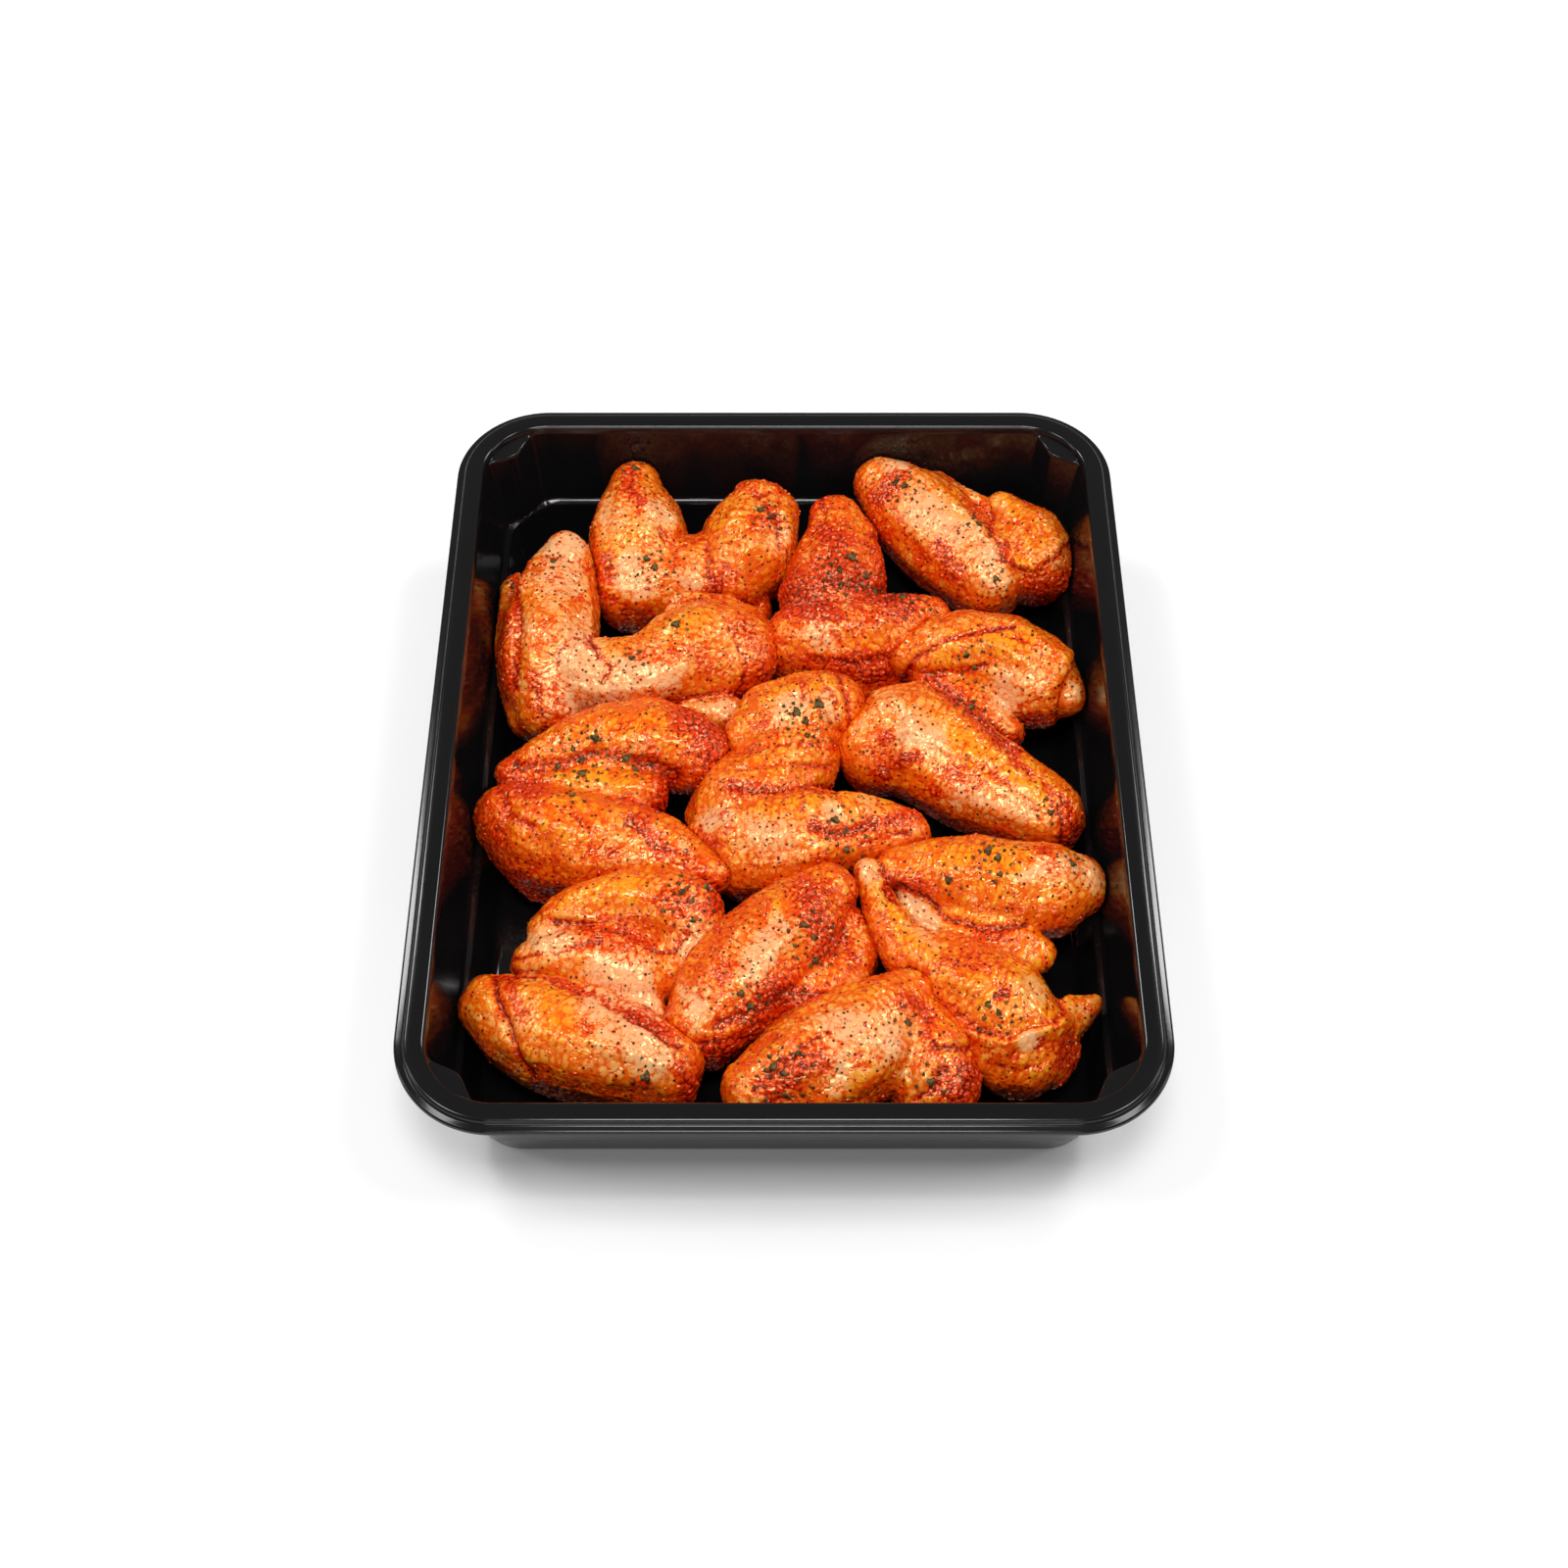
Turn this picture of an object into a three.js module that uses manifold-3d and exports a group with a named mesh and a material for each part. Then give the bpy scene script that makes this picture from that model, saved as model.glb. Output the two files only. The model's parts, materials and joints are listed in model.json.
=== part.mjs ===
// A black thermoformed tray of marinated raw chicken wings, in millimetres.
// The origin is at the middle of the tray's base, +Z is up and +Y is the far end of the tray.
import * as THREE from 'three';
import { mergeVertices } from 'three/addons/utils/BufferGeometryUtils.js';
import Module from 'manifold-3d';

const wasm = await Module();
wasm.setup();

// Tray sizes
const TRAY_WIDTH = 262;
const TRAY_LENGTH = 327.6;
const RIM_HEIGHT = 58.6;
const RIM_CORNER_RADIUS = 35.3;
const FLOOR_THICKNESS = 1.2;
const CORNER_SEGMENTS = 8;
const CORNER_ANGLE = Math.PI / 2;

// Each corner has a stacking lug: a ledge just below the rim with a fluted pillar under it.
const LUG_HALF_ANGLE = THREE.MathUtils.degToRad(28);
const LUG_SHELF = 6.2;
const LUG_FOOT = 3.6;

// Room that a wing keeps from the tray and from the wings beside it
const CLEARANCE = 0.45;
const CAVITY_TOP = 90;

// Wing sizes that hold for every limb
const SECTION_SIDES = 10;
const SLIM_SIDES = 7;
const SLIM_WIDTH = 10.5;
const RING_SPACING = 13;
const CAP_LENGTH = 0.85;
const CAP_ANGLES = [32, 62].map(THREE.MathUtils.degToRad);
const BELLY_DEPTH = 1.7;
const LUMP_DEPTH = 0.05;
const LUMP_SIDES = 3;
const LUMP_RATE = 0.075;

// Pressed-on herb flakes
const FLAKE_SIDES = 5;
const FLAKE_RADIUS = 2.0;
const FLAKE_LIFT = 0.3;
const FLAKE_CROWN = 0.5;
const FLAKE_ROOT = 1.6;
const FLAKE_SPACING = 4.6;
const GOLDEN_ANGLE = Math.PI * (3 - Math.sqrt(5));
const STEEPEST_SEAT = 0.45;

// The inner face of the tray from the middle of its floor up to the rim, then over the rim to
// the skirt: inset from the outer edge, height, corner radius and depth of the lug.
const INNER_PROFILE = [
  { inset: 26.5, height: FLOOR_THICKNESS, radius: 13.5 },
  { inset: 23.6, height: 1.9, radius: 16.4 },
  { inset: 22.3, height: 4.0, radius: 17.6 },
  { inset: 18.3, height: 20.6, radius: 20.2, lug: LUG_FOOT * 0.4 },
  { inset: 17.9, height: 21.3, radius: 20.4, lug: LUG_FOOT * 0.4 },
  { inset: 16.2, height: 21.8, radius: 21.2, lug: LUG_FOOT },
  { inset: 15.6, height: 24.0, radius: 21.4, lug: LUG_FOOT },
  { inset: 11.1, height: 55.0, radius: 24.2, lug: LUG_SHELF },
  { inset: 11.0, height: 55.5, radius: 24.3, lug: LUG_SHELF * 0.9 },
  { inset: 10.95, height: 55.8, radius: 24.3 },
  { inset: 10.5, height: 57.7, radius: 24.8 },
  { inset: 10.0, height: 58.35, radius: 25.3 },
  { inset: 9.2, height: RIM_HEIGHT, radius: 26.1 },
];

const RIM_PROFILE = [
  { inset: 4.2, height: RIM_HEIGHT, radius: 31.1 },
  { inset: 3.4, height: 58.3, radius: 31.9 },
  { inset: 3.0, height: 57.6, radius: 32.3 },
  { inset: 2.6, height: 56.9, radius: 32.7 },
  { inset: 0.6, height: 56.7, radius: 34.7 },
  { inset: 0, height: 56.1, radius: RIM_CORNER_RADIUS },
  { inset: 0, height: 54.7, radius: RIM_CORNER_RADIUS },
];

const OUTER_PROFILE = [
  { inset: 1.1, height: 54.7, radius: 34.2 },
  { inset: 1.1, height: 55.6, radius: 34.2 },
  { inset: 3.7, height: 55.7, radius: 31.6 },
  { inset: 4.5, height: 57.4, radius: 30.8 },
  { inset: 8.9, height: 57.4, radius: 26.4 },
  { inset: 9.6, height: 54.6, radius: 25.7 },
  { inset: 10.0, height: 53.9, radius: 25.3, lug: LUG_SHELF },
  { inset: 14.4, height: 24.0, radius: 22.4, lug: LUG_FOOT },
  { inset: 15.0, height: 20.7, radius: 22.0, lug: LUG_FOOT },
  { inset: 17.1, height: 20.1, radius: 21.0, lug: LUG_FOOT * 0.4 },
  { inset: 21.3, height: 3.2, radius: 18.6 },
  { inset: 22.0, height: 1.0, radius: 18.0 },
  { inset: 23.4, height: 0, radius: 16.6 },
];

// The wings, each a few rounded limbs. A limb is a row of stations along its bone:
// x, y and height of the middle, half width and half height.
const WINGS = [
  {
    name: 'wing_front_left',
    color: 0xd8772f,
    limbs: {
      flat: [
        [-86, -70, 30, 8, 7], [-69, -61, 33, 11, 10], [-48, -59, 33, 13, 11],
        [-33, -64, 32, 13, 11],
      ],
      joint: [[-31, -68, 30, 11, 9], [-35, -80, 28, 11, 9], [-42, -88, 25, 7, 6]],
      drumette: [
        [-104, -99, 29, 12, 10], [-88, -109, 29, 19, 16], [-65, -116, 29, 20, 17],
        [-40, -125, 28, 14, 12],
      ],
      web: [[-90, -82, 26, 10, 9], [-72, -79, 26, 15, 14], [-52, -85, 26, 14, 12]],
      tail: [[-54, -93, 25, 10, 9], [-44, -106, 25, 5, 4]],
      fold: [[-82, -67, 25, 6, 6], [-68, -67, 26, 7, 6], [-49, -72, 26, 7, 6]],
    },
    herbs: [{ x: -33, y: -67, count: 4 }, { x: -47, y: -137, count: 1 }],
  },
  {
    name: 'wing_front_right',
    color: 0xd36a28,
    limbs: {
      drumette: [
        [45, -98, 33, 11, 9], [33, -111, 32, 20, 17], [13, -125, 31, 22, 18],
        [-7, -135, 28, 16, 14],
      ],
      shoulder: [[48, -104, 30, 11, 9], [51, -117, 29, 15, 13], [52, -131, 27, 16, 13]],
    },
    herbs: [
      { x: 0, y: -136, count: 4 },
      { x: 42, y: -116, count: 1 },
      { x: 50, y: -139, count: 1 },
    ],
  },
  {
    name: 'wing_right_front',
    color: 0xdc8236,
    limbs: {
      flat: [
        [41, -46, 35, 8, 6], [55, -47, 34, 14, 12], [78, -51, 33, 18, 15], [98, -53, 33, 17, 14],
        [108, -51, 32, 11, 9],
      ],
      neck: [[30, -47, 36, 5, 4], [35, -62, 34, 6, 6], [41, -76, 32, 9, 8], [54, -87, 31, 14, 12]],
      drumette: [
        [53, -85, 31, 14, 12], [69, -96, 30, 19, 16], [82, -107, 28, 20, 16],
        [81, -118, 26, 17, 13],
      ],
      web: [[62, -68, 28, 10, 8], [81, -74, 28, 11, 9], [91, -79, 28, 7, 6]],
      meat: [[44, -56, 29, 5, 4], [54, -65, 28, 7, 6], [65, -71, 27, 7, 6]],
      flap: [[96, -106, 26, 9, 8], [104, -102, 27, 6, 5], [110, -98, 28, 3, 3]],
      skirt: [[99, -113, 22, 6, 5], [94, -123, 20, 5, 4]],
    },
    herbs: [
      { x: 77, y: -49, count: 3 },
      { x: 59, y: -58, count: 1 },
      { x: 104, y: -51, count: 1 },
      { x: 74, y: -112, count: 2 },
    ],
  },
  {
    name: 'wing_front_middle',
    color: 0xd2682a,
    limbs: {
      drumette: [
        [17, -55, 34, 10, 9], [4, -69, 32, 20, 17], [-13, -87, 29, 22, 19],
        [-29, -107, 27, 15, 13],
      ],
      flat: [[23, -67, 28, 9, 7], [25, -80, 25, 10, 9], [10, -96, 24, 16, 13]],
    },
    herbs: [{ x: 10, y: -82, count: 3 }, { x: -11, y: -110, count: 2 }],
  },
  {
    name: 'wing_left_middle',
    color: 0xdb7a2c,
    limbs: {
      flat: [
        [-102, -1, 30, 8, 7], [-80, 8, 32, 13, 11], [-52, 14, 33, 17, 14], [-33, 9, 32, 14, 12],
      ],
      drumette: [
        [-102, -19, 28, 15, 14], [-84, -28, 28, 21, 18], [-58, -31, 28, 18, 15],
        [-36, -39, 30, 11, 9], [-25, -46, 32, 7, 6],
      ],
      web: [[-97, -4, 28, 10, 8], [-74, -6, 29, 12, 10], [-52, -9, 30, 10, 8]],
      skirt: [[-92, -38, 15, 7, 6], [-77, -43, 13, 5, 4]],
    },
    herbs: [{ x: -75, y: -5, count: 5 }, { x: -55, y: -9, count: 2 }, { x: -78, y: -21, count: 1 }],
  },
  {
    name: 'wing_middle',
    color: 0xdd7f33,
    limbs: {
      flat: [[-15, 15, 30, 11, 9], [0, 24, 33, 17, 14], [18, 29, 33, 16, 13]],
      lobe: [[23, 28, 30, 9, 8], [25, 23, 28, 7, 6]],
      drumette: [
        [-28, -30, 27, 12, 10], [-13, -33, 30, 19, 16], [11, -29, 32, 18, 15],
        [34, -28, 32, 13, 11], [47, -27, 32, 8, 7],
      ],
      web: [[6, 12, 29, 17, 14], [-4, -2, 26, 22, 19], [-13, -17, 25, 24, 21]],
    },
    herbs: [{ x: 8, y: 13, count: 4 }, { x: 22, y: -37, count: 3 }],
  },
  {
    name: 'wing_right',
    color: 0xd97a34,
    limbs: {
      flat: [[49, 58, 29, 10, 8], [62, 59, 30, 16, 14], [81, 57, 31, 19, 16], [98, 45, 32, 18, 15]],
      drumette: [
        [34, 14, 28, 17, 14], [49, 17, 29, 24, 20], [72, -1, 29, 19, 16], [100, -19, 29, 14, 12],
      ],
      web: [[59, 43, 25, 11, 9], [75, 29, 25, 13, 11], [86, 22, 26, 7, 6]],
      end: [[109, 47, 34, 5, 5], [110, 34, 32, 6, 6]],
    },
    herbs: [{ x: 73, y: 39, count: 2 }, { x: 70, y: 20, count: 2 }, { x: 97, y: -28, count: 1 }],
  },
  {
    name: 'wing_left',
    color: 0xe09a55,
    limbs: {
      flat: [
        [-88, 107, 35, 9, 8], [-91, 86, 31, 17, 15], [-92, 58, 28, 21, 19], [-91, 35, 25, 15, 13],
      ],
      drumette: [
        [-79, 46, 31, 15, 13], [-57, 45, 32, 15, 13], [-35, 59, 30, 22, 18], [-19, 62, 28, 20, 17],
      ],
      knob: [[-42, 79, 32, 6, 5], [-23, 77, 31, 8, 7]],
      flap: [[-38, 36, 24, 6, 5], [-21, 34, 22, 8, 7]],
      skin: [[-108, 93, 28, 6, 5], [-109, 58, 22, 6, 5], [-101, 33, 20, 7, 6]],
    },
    herbs: [
      { x: -42, y: 60, count: 1 },
      { x: -58, y: 43, count: 1 },
      { x: -92, y: 93, count: 1 },
      { x: -106, y: 80, count: 1 },
    ],
  },
  {
    name: 'wing_back_middle',
    color: 0xcb5526,
    limbs: {
      flat: [[21, 125, 35, 11, 10], [23, 111, 31, 18, 16], [19, 87, 28, 22, 19]],
      drumette: [
        [6, 66, 27, 17, 14], [24, 65, 29, 20, 16], [43, 70, 29, 16, 14], [60, 77, 30, 8, 7],
      ],
      skirt: [[24, 54, 19, 11, 9], [40, 59, 19, 11, 9]],
    },
    herbs: [{ x: 22, y: 88, count: 4 }, { x: 35, y: 77, count: 2 }, { x: 50, y: 71, count: 2 }],
  },
  {
    name: 'wing_back_left',
    color: 0xde8c45,
    limbs: {
      flat: [[-61, 143, 36, 10, 9], [-60, 121, 30, 20, 18], [-61, 94, 26, 15, 13]],
      drumette: [[-8, 129, 34, 15, 13], [-15, 113, 30, 21, 18], [-22, 98, 26, 14, 13]],
      knuckle: [[-15, 135, 38, 6, 5], [-2, 132, 37, 5, 5]],
      web: [[-63, 95, 23, 14, 12], [-44, 101, 24, 18, 15], [-26, 107, 24, 17, 14]],
      skirt: [[-24, 95, 19, 8, 7], [-11, 91, 17, 7, 6]],
    },
    herbs: [{ x: -51, y: 90, count: 2 }, { x: -61, y: 143, count: 1 }, { x: -6, y: 116, count: 2 }],
  },
  {
    name: 'wing_back_right',
    color: 0xdc8440,
    limbs: {
      flat: [
        [40, 145, 36, 12, 10], [56, 129, 31, 19, 17], [74, 110, 28, 19, 16], [84, 94, 27, 12, 11],
      ],
      shoulder: [[61, 143, 32, 9, 8], [79, 131, 30, 9, 8]],
      drumette: [[89, 131, 33, 8, 7], [99, 121, 30, 15, 13], [104, 106, 26, 16, 14]],
    },
    herbs: [{ x: 49, y: 133, count: 2 }, { x: 78, y: 112, count: 1 }, { x: 83, y: 83, count: 1 }],
  },
];

// Stitches loops of equal length into one closed skin, with a fan at each end.
function skinLoops(loops) {
  const around = loops[0].length;
  const points = loops.flat();
  const faces = [];
  for (let row = 0; row < loops.length - 1; row += 1) {
    for (let step = 0; step < around; step += 1) {
      const here = row * around + step;
      const next = row * around + (step + 1) % around;
      faces.push([here, next, here + around], [next, next + around, here + around]);
    }
  }
  const last = (loops.length - 1) * around;
  const startPole = points.push(middleOf(loops[0])) - 1;
  const endPole = points.push(middleOf(loops.at(-1))) - 1;
  for (let step = 0; step < around; step += 1) {
    const next = (step + 1) % around;
    faces.push([next, step, startPole], [last + step, last + next, endPole]);
  }
  return geometryFrom(points, faces);
}

function middleOf(points) {
  const sum = new THREE.Vector3();
  points.forEach((point) => sum.add(point));
  return sum.divideScalar(points.length);
}

function geometryFrom(points, faces) {
  const geometry = new THREE.BufferGeometry();
  geometry.setAttribute('position', new THREE.Float32BufferAttribute(points.flatMap((p) => p.toArray()), 3));
  geometry.setIndex(faces.flat());
  return geometry;
}

// One level of the tray: a rectangle with round corners, pushed in at each corner by the lug.
function trayLoop({ inset, height, radius, lug = 0 }) {
  const halfWidth = TRAY_WIDTH / 2 - inset;
  const halfLength = TRAY_LENGTH / 2 - inset;
  const loop = [];
  for (let corner = 0; corner < 4; corner += 1) {
    const signX = corner === 0 || corner === 3 ? 1 : -1;
    const signY = corner < 2 ? 1 : -1;
    for (let step = 0; step <= CORNER_SEGMENTS; step += 1) {
      const turn = (step / CORNER_SEGMENTS) * CORNER_ANGLE;
      const angle = corner * CORNER_ANGLE + turn;
      const reach = radius - lug * lugShape(turn - CORNER_ANGLE / 2);
      const x = signX * (halfWidth - radius) + reach * Math.cos(angle);
      const y = signY * (halfLength - radius) + reach * Math.sin(angle);
      loop.push(new THREE.Vector3(x, y, height));
    }
  }
  return loop;
}

function lugShape(fromDiagonal) {
  if (Math.abs(fromDiagonal) >= LUG_HALF_ANGLE) {
    return 0;
  }
  return Math.cos((fromDiagonal / LUG_HALF_ANGLE) * (Math.PI / 2));
}

// The tray is one sheet: up the outer face, over the rim and down the inner face.
function trayGeometry() {
  const levels = [...INNER_PROFILE, ...RIM_PROFILE, ...OUTER_PROFILE].reverse();
  return skinLoops(levels.map(trayLoop));
}

// The room inside the tray, taken in by the clearance, with straight sides above the rim
function cavitySolid() {
  const levels = INNER_PROFILE.slice(0, -2).map((level) => ({
    ...level,
    inset: level.inset + CLEARANCE,
    height: Math.max(level.height, FLOOR_THICKNESS + CLEARANCE),
    radius: level.radius - CLEARANCE,
  }));
  levels[0].height = FLOOR_THICKNESS + CLEARANCE;
  levels[1].height = levels[0].height + 0.5;
  levels.push({ ...levels.at(-1), height: CAVITY_TOP });
  return solidFrom(skinLoops(levels.map(trayLoop)));
}

function solidFrom(geometry) {
  const merged = mergeVertices(geometry);
  const mesh = new wasm.Mesh({
    numProp: 3,
    vertProperties: new Float32Array(merged.getAttribute('position').array),
    triVerts: new Uint32Array(merged.getIndex().array),
  });
  return new wasm.Manifold(mesh);
}

function geometryOf(solid) {
  const { vertProperties, triVerts } = solid.getMesh();
  const geometry = new THREE.BufferGeometry();
  geometry.setAttribute('position', new THREE.BufferAttribute(vertProperties, 3));
  geometry.setIndex(new THREE.BufferAttribute(triVerts, 1));
  return geometry;
}

// A limb: rings across a curve through its stations, rounded off at both ends.
// Its underside is deeper than its top, and reaches the floor where it can.
function limbGeometry(stations, phase, grow) {
  const path = new THREE.CatmullRomCurve3(stations.map(([x, y, z]) => new THREE.Vector3(x, y, z)));
  const sizes = new THREE.CatmullRomCurve3(stations.map(([, , , wide, tall]) => new THREE.Vector3(wide, tall, 0)));
  const steps = Math.max(2, Math.round(path.getLength() / RING_SPACING));
  const widest = Math.max(...stations.map(([, , , wide]) => wide));
  const sides = widest < SLIM_WIDTH ? SLIM_SIDES : SECTION_SIDES;
  const rings = [];
  const addRing = (along, capAngle, side) => {
    const tangent = path.getTangent(along);
    const size = sizes.getPoint(along);
    const capReach = side * Math.sin(capAngle) * (size.x * CAP_LENGTH + grow);
    const middle = path.getPoint(along).addScaledVector(tangent, capReach);
    rings.push(limbRing(middle, tangent, size, { sides, taper: Math.cos(capAngle), phase, grow }));
  };
  [...CAP_ANGLES].reverse().forEach((angle) => addRing(0, angle, -1));
  for (let step = 0; step <= steps; step += 1) {
    addRing(step / steps, 0, 1);
  }
  CAP_ANGLES.forEach((angle) => addRing(1, angle, 1));
  return skinLoops(rings);
}

function limbRing(middle, tangent, size, { sides, taper, phase, grow }) {
  const aside = new THREE.Vector3(0, 0, 1).cross(tangent).normalize();
  const upward = tangent.clone().cross(aside).normalize();
  const roomBelow = middle.z - FLOOR_THICKNESS;
  const belly = THREE.MathUtils.clamp(roomBelow, size.y, size.y * BELLY_DEPTH);
  const ring = [];
  for (let step = 0; step < sides; step += 1) {
    const angle = (step / sides) * Math.PI * 2;
    const lump = 1 + LUMP_DEPTH * Math.sin(LUMP_SIDES * angle + phase + (middle.x + middle.y) * LUMP_RATE);
    const rise = Math.sin(angle) > 0 ? size.y : belly;
    const point = middle.clone();
    point.addScaledVector(aside, Math.cos(angle) * taper * (size.x * lump + grow));
    point.addScaledVector(upward, Math.sin(angle) * taper * (rise * lump + grow));
    ring.push(point);
  }
  return ring;
}

function wingSolid(wing, phase, grow) {
  const limbs = Object.values(wing.limbs);
  const solids = limbs.map((stations, index) => solidFrom(limbGeometry(stations, phase + index, grow)));
  return solids.reduce((whole, solid) => whole.add(solid));
}

// The highest place of a surface under a point seen from above, with its slope
function seatOn(geometry, x, y) {
  const position = geometry.getAttribute('position');
  const index = geometry.getIndex();
  const ray = new THREE.Ray(new THREE.Vector3(x, y, CAVITY_TOP), new THREE.Vector3(0, 0, -1));
  const corners = [new THREE.Vector3(), new THREE.Vector3(), new THREE.Vector3()];
  const hit = new THREE.Vector3();
  let seat = null;
  for (let face = 0; face < index.count; face += 3) {
    corners.forEach((corner, offset) => corner.fromBufferAttribute(position, index.getX(face + offset)));
    if (ray.intersectTriangle(...corners, true, hit) && (!seat || hit.z > seat.point.z)) {
      const normal = new THREE.Vector3();
      new THREE.Triangle(...corners).getNormal(normal);
      seat = { point: hit.clone(), normal };
    }
  }
  return seat;
}

// A flake is a flat, slightly crooked scrap that stands on the skin by a root under its middle.
function flakeGeometry(seat, turn) {
  const twist = new THREE.Quaternion().setFromUnitVectors(new THREE.Vector3(0, 0, 1), seat.normal);
  const centre = seat.point.clone().addScaledVector(seat.normal, FLAKE_LIFT);
  const place = (x, y, z) => new THREE.Vector3(x, y, z).applyQuaternion(twist).add(centre);
  const points = [];
  for (let side = 0; side < FLAKE_SIDES; side += 1) {
    const angle = turn + (side / FLAKE_SIDES) * Math.PI * 2;
    const reach = FLAKE_RADIUS * (side % 2 ? 1 : 0.72);
    points.push(place(reach * Math.cos(angle), reach * Math.sin(angle), 0));
  }
  const top = points.push(place(0, 0, FLAKE_CROWN)) - 1;
  const bottom = points.push(place(0, 0, -FLAKE_ROOT)) - 1;
  const faces = [];
  for (let side = 0; side < FLAKE_SIDES; side += 1) {
    const next = (side + 1) % FLAKE_SIDES;
    faces.push([side, next, top], [next, side, bottom]);
  }
  return geometryFrom(points, faces);
}

// Flakes lie in loose clusters, on a spiral round the middle of each.
function flakesFor(wing, surface) {
  const flakes = [];
  wing.herbs.forEach(({ x, y, count }) => {
    for (let number = 0; number < count; number += 1) {
      const angle = number * GOLDEN_ANGLE;
      const reach = FLAKE_SPACING * Math.sqrt(number);
      const seat = seatOn(surface, x + reach * Math.cos(angle), y + reach * Math.sin(angle));
      if (seat && seat.normal.z > STEEPEST_SEAT) {
        flakes.push(solidFrom(flakeGeometry(seat, angle)));
      }
    }
  });
  return flakes;
}

// Keeps the largest closed piece of a solid, dropping scraps that a cut has set loose.
function largestPiece(solid) {
  const geometry = geometryOf(solid);
  const index = geometry.getIndex().array;
  const parent = Array.from({ length: geometry.getAttribute('position').count }, (_, vertex) => vertex);
  const rootOf = (vertex) => {
    let root = vertex;
    while (parent[root] !== root) {
      parent[root] = parent[parent[root]];
      root = parent[root];
    }
    return root;
  };
  for (let corner = 0; corner < index.length; corner += 3) {
    parent[rootOf(index[corner])] = rootOf(index[corner + 1]);
    parent[rootOf(index[corner + 1])] = rootOf(index[corner + 2]);
  }
  const pieces = new Map();
  for (let corner = 0; corner < index.length; corner += 3) {
    const root = rootOf(index[corner]);
    pieces.set(root, [...(pieces.get(root) ?? []), index[corner], index[corner + 1], index[corner + 2]]);
  }
  const largest = [...pieces.values()].sort((one, other) => other.length - one.length)[0];
  const kept = geometry.clone().setIndex(largest);
  return mergeVertices(kept.toNonIndexed());
}

// The wings pack against each other: those listed first press into those listed after them.
function wingGeometries() {
  const cavity = cavitySolid();
  const grown = [];
  return WINGS.map((wing, number) => {
    let solid = wingSolid(wing, number, 0).intersect(cavity);
    grown.forEach((neighbour) => {
      solid = solid.subtract(neighbour);
    });
    const surface = largestPiece(solid);
    const body = flakesFor(wing, surface).reduce((whole, flake) => whole.add(flake), solidFrom(surface));
    grown.push(wingSolid(wing, number, CLEARANCE));
    return largestPiece(body);
  });
}

function namedMesh(name, geometry, look) {
  geometry.computeVertexNormals();
  const mesh = new THREE.Mesh(geometry, new THREE.MeshStandardMaterial(look));
  mesh.name = name;
  return mesh;
}

const pack = new THREE.Group();
pack.add(namedMesh('tray', trayGeometry(), { color: 0x0c0c0d, roughness: 0.25, metalness: 0 }));
wingGeometries().forEach((geometry, number) => {
  const { name, color } = WINGS[number];
  pack.add(namedMesh(name, geometry, { color, roughness: 0.4, metalness: 0 }));
});

export default pack;
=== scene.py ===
"""A black tray of marinated raw chicken wings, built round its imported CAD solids."""

import itertools
import json
import math

import bmesh
import bpy
import numpy as np
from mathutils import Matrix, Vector
from mathutils.bvhtree import BVHTree

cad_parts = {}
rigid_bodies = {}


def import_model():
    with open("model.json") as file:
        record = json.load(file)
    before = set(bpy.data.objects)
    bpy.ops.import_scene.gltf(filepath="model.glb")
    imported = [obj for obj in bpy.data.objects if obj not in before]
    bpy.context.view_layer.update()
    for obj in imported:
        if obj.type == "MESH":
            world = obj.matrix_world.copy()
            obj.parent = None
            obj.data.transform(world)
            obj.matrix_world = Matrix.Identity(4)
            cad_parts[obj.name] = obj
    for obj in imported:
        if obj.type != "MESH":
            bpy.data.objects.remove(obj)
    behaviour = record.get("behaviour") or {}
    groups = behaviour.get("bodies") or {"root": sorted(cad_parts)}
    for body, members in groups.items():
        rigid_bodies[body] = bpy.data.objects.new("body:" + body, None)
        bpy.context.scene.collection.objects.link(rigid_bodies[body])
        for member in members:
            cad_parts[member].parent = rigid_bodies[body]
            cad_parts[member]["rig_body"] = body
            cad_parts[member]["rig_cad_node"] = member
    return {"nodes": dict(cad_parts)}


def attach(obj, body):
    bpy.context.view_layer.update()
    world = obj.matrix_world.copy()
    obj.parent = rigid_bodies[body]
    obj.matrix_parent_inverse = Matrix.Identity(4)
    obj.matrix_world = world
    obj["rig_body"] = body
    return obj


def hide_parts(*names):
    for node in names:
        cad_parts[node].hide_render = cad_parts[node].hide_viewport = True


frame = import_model()

bl_info = {
    "name": "Tray of marinated wings",
    "version": (1, 0, 0),
    "blender": (4, 5, 0),
    "location": "View3D > Sidebar > Wings",
    "description": "Builds a black tray of marinated raw chicken wings round its CAD solids",
    "category": "Object",
}

BODY = "root"
MM = 0.001

# The camera that took the photo, in the frame of the tray
CAMERA_PLACE = Vector((0.0, -0.5036, 0.7283))
CAMERA_TILT = math.radians(35.544)
SENSOR_WIDTH = 36.0
PHOTO_SIZE = 1600
FOCAL_PIXELS = 2325.4

# Seeds, so that every run gives the same pack
WRINKLE_SEED = 11
FOLLICLE_SEED = 23
SMALL_LUMP_SEED = 40
PATCH_SEED = 70
COARSE_SEED = 73
FINE_SEED = 113
BEADING_SEED = 71
SCATTER_SEED = 5

# Wing nodes, in the order in which they lie from front to back
WINGS = (
    "wing_front_left",
    "wing_front_right",
    "wing_right_front",
    "wing_front_middle",
    "wing_left_middle",
    "wing_middle",
    "wing_right",
    "wing_left",
    "wing_back_middle",
    "wing_back_left",
    "wing_back_right",
)

WING_SLOTS = {
    "wing_left": "pale_skin",
    "wing_back_left": "pale_skin",
    "wing_back_right": "pale_skin",
    "wing_back_middle": "red_skin",
}

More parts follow.
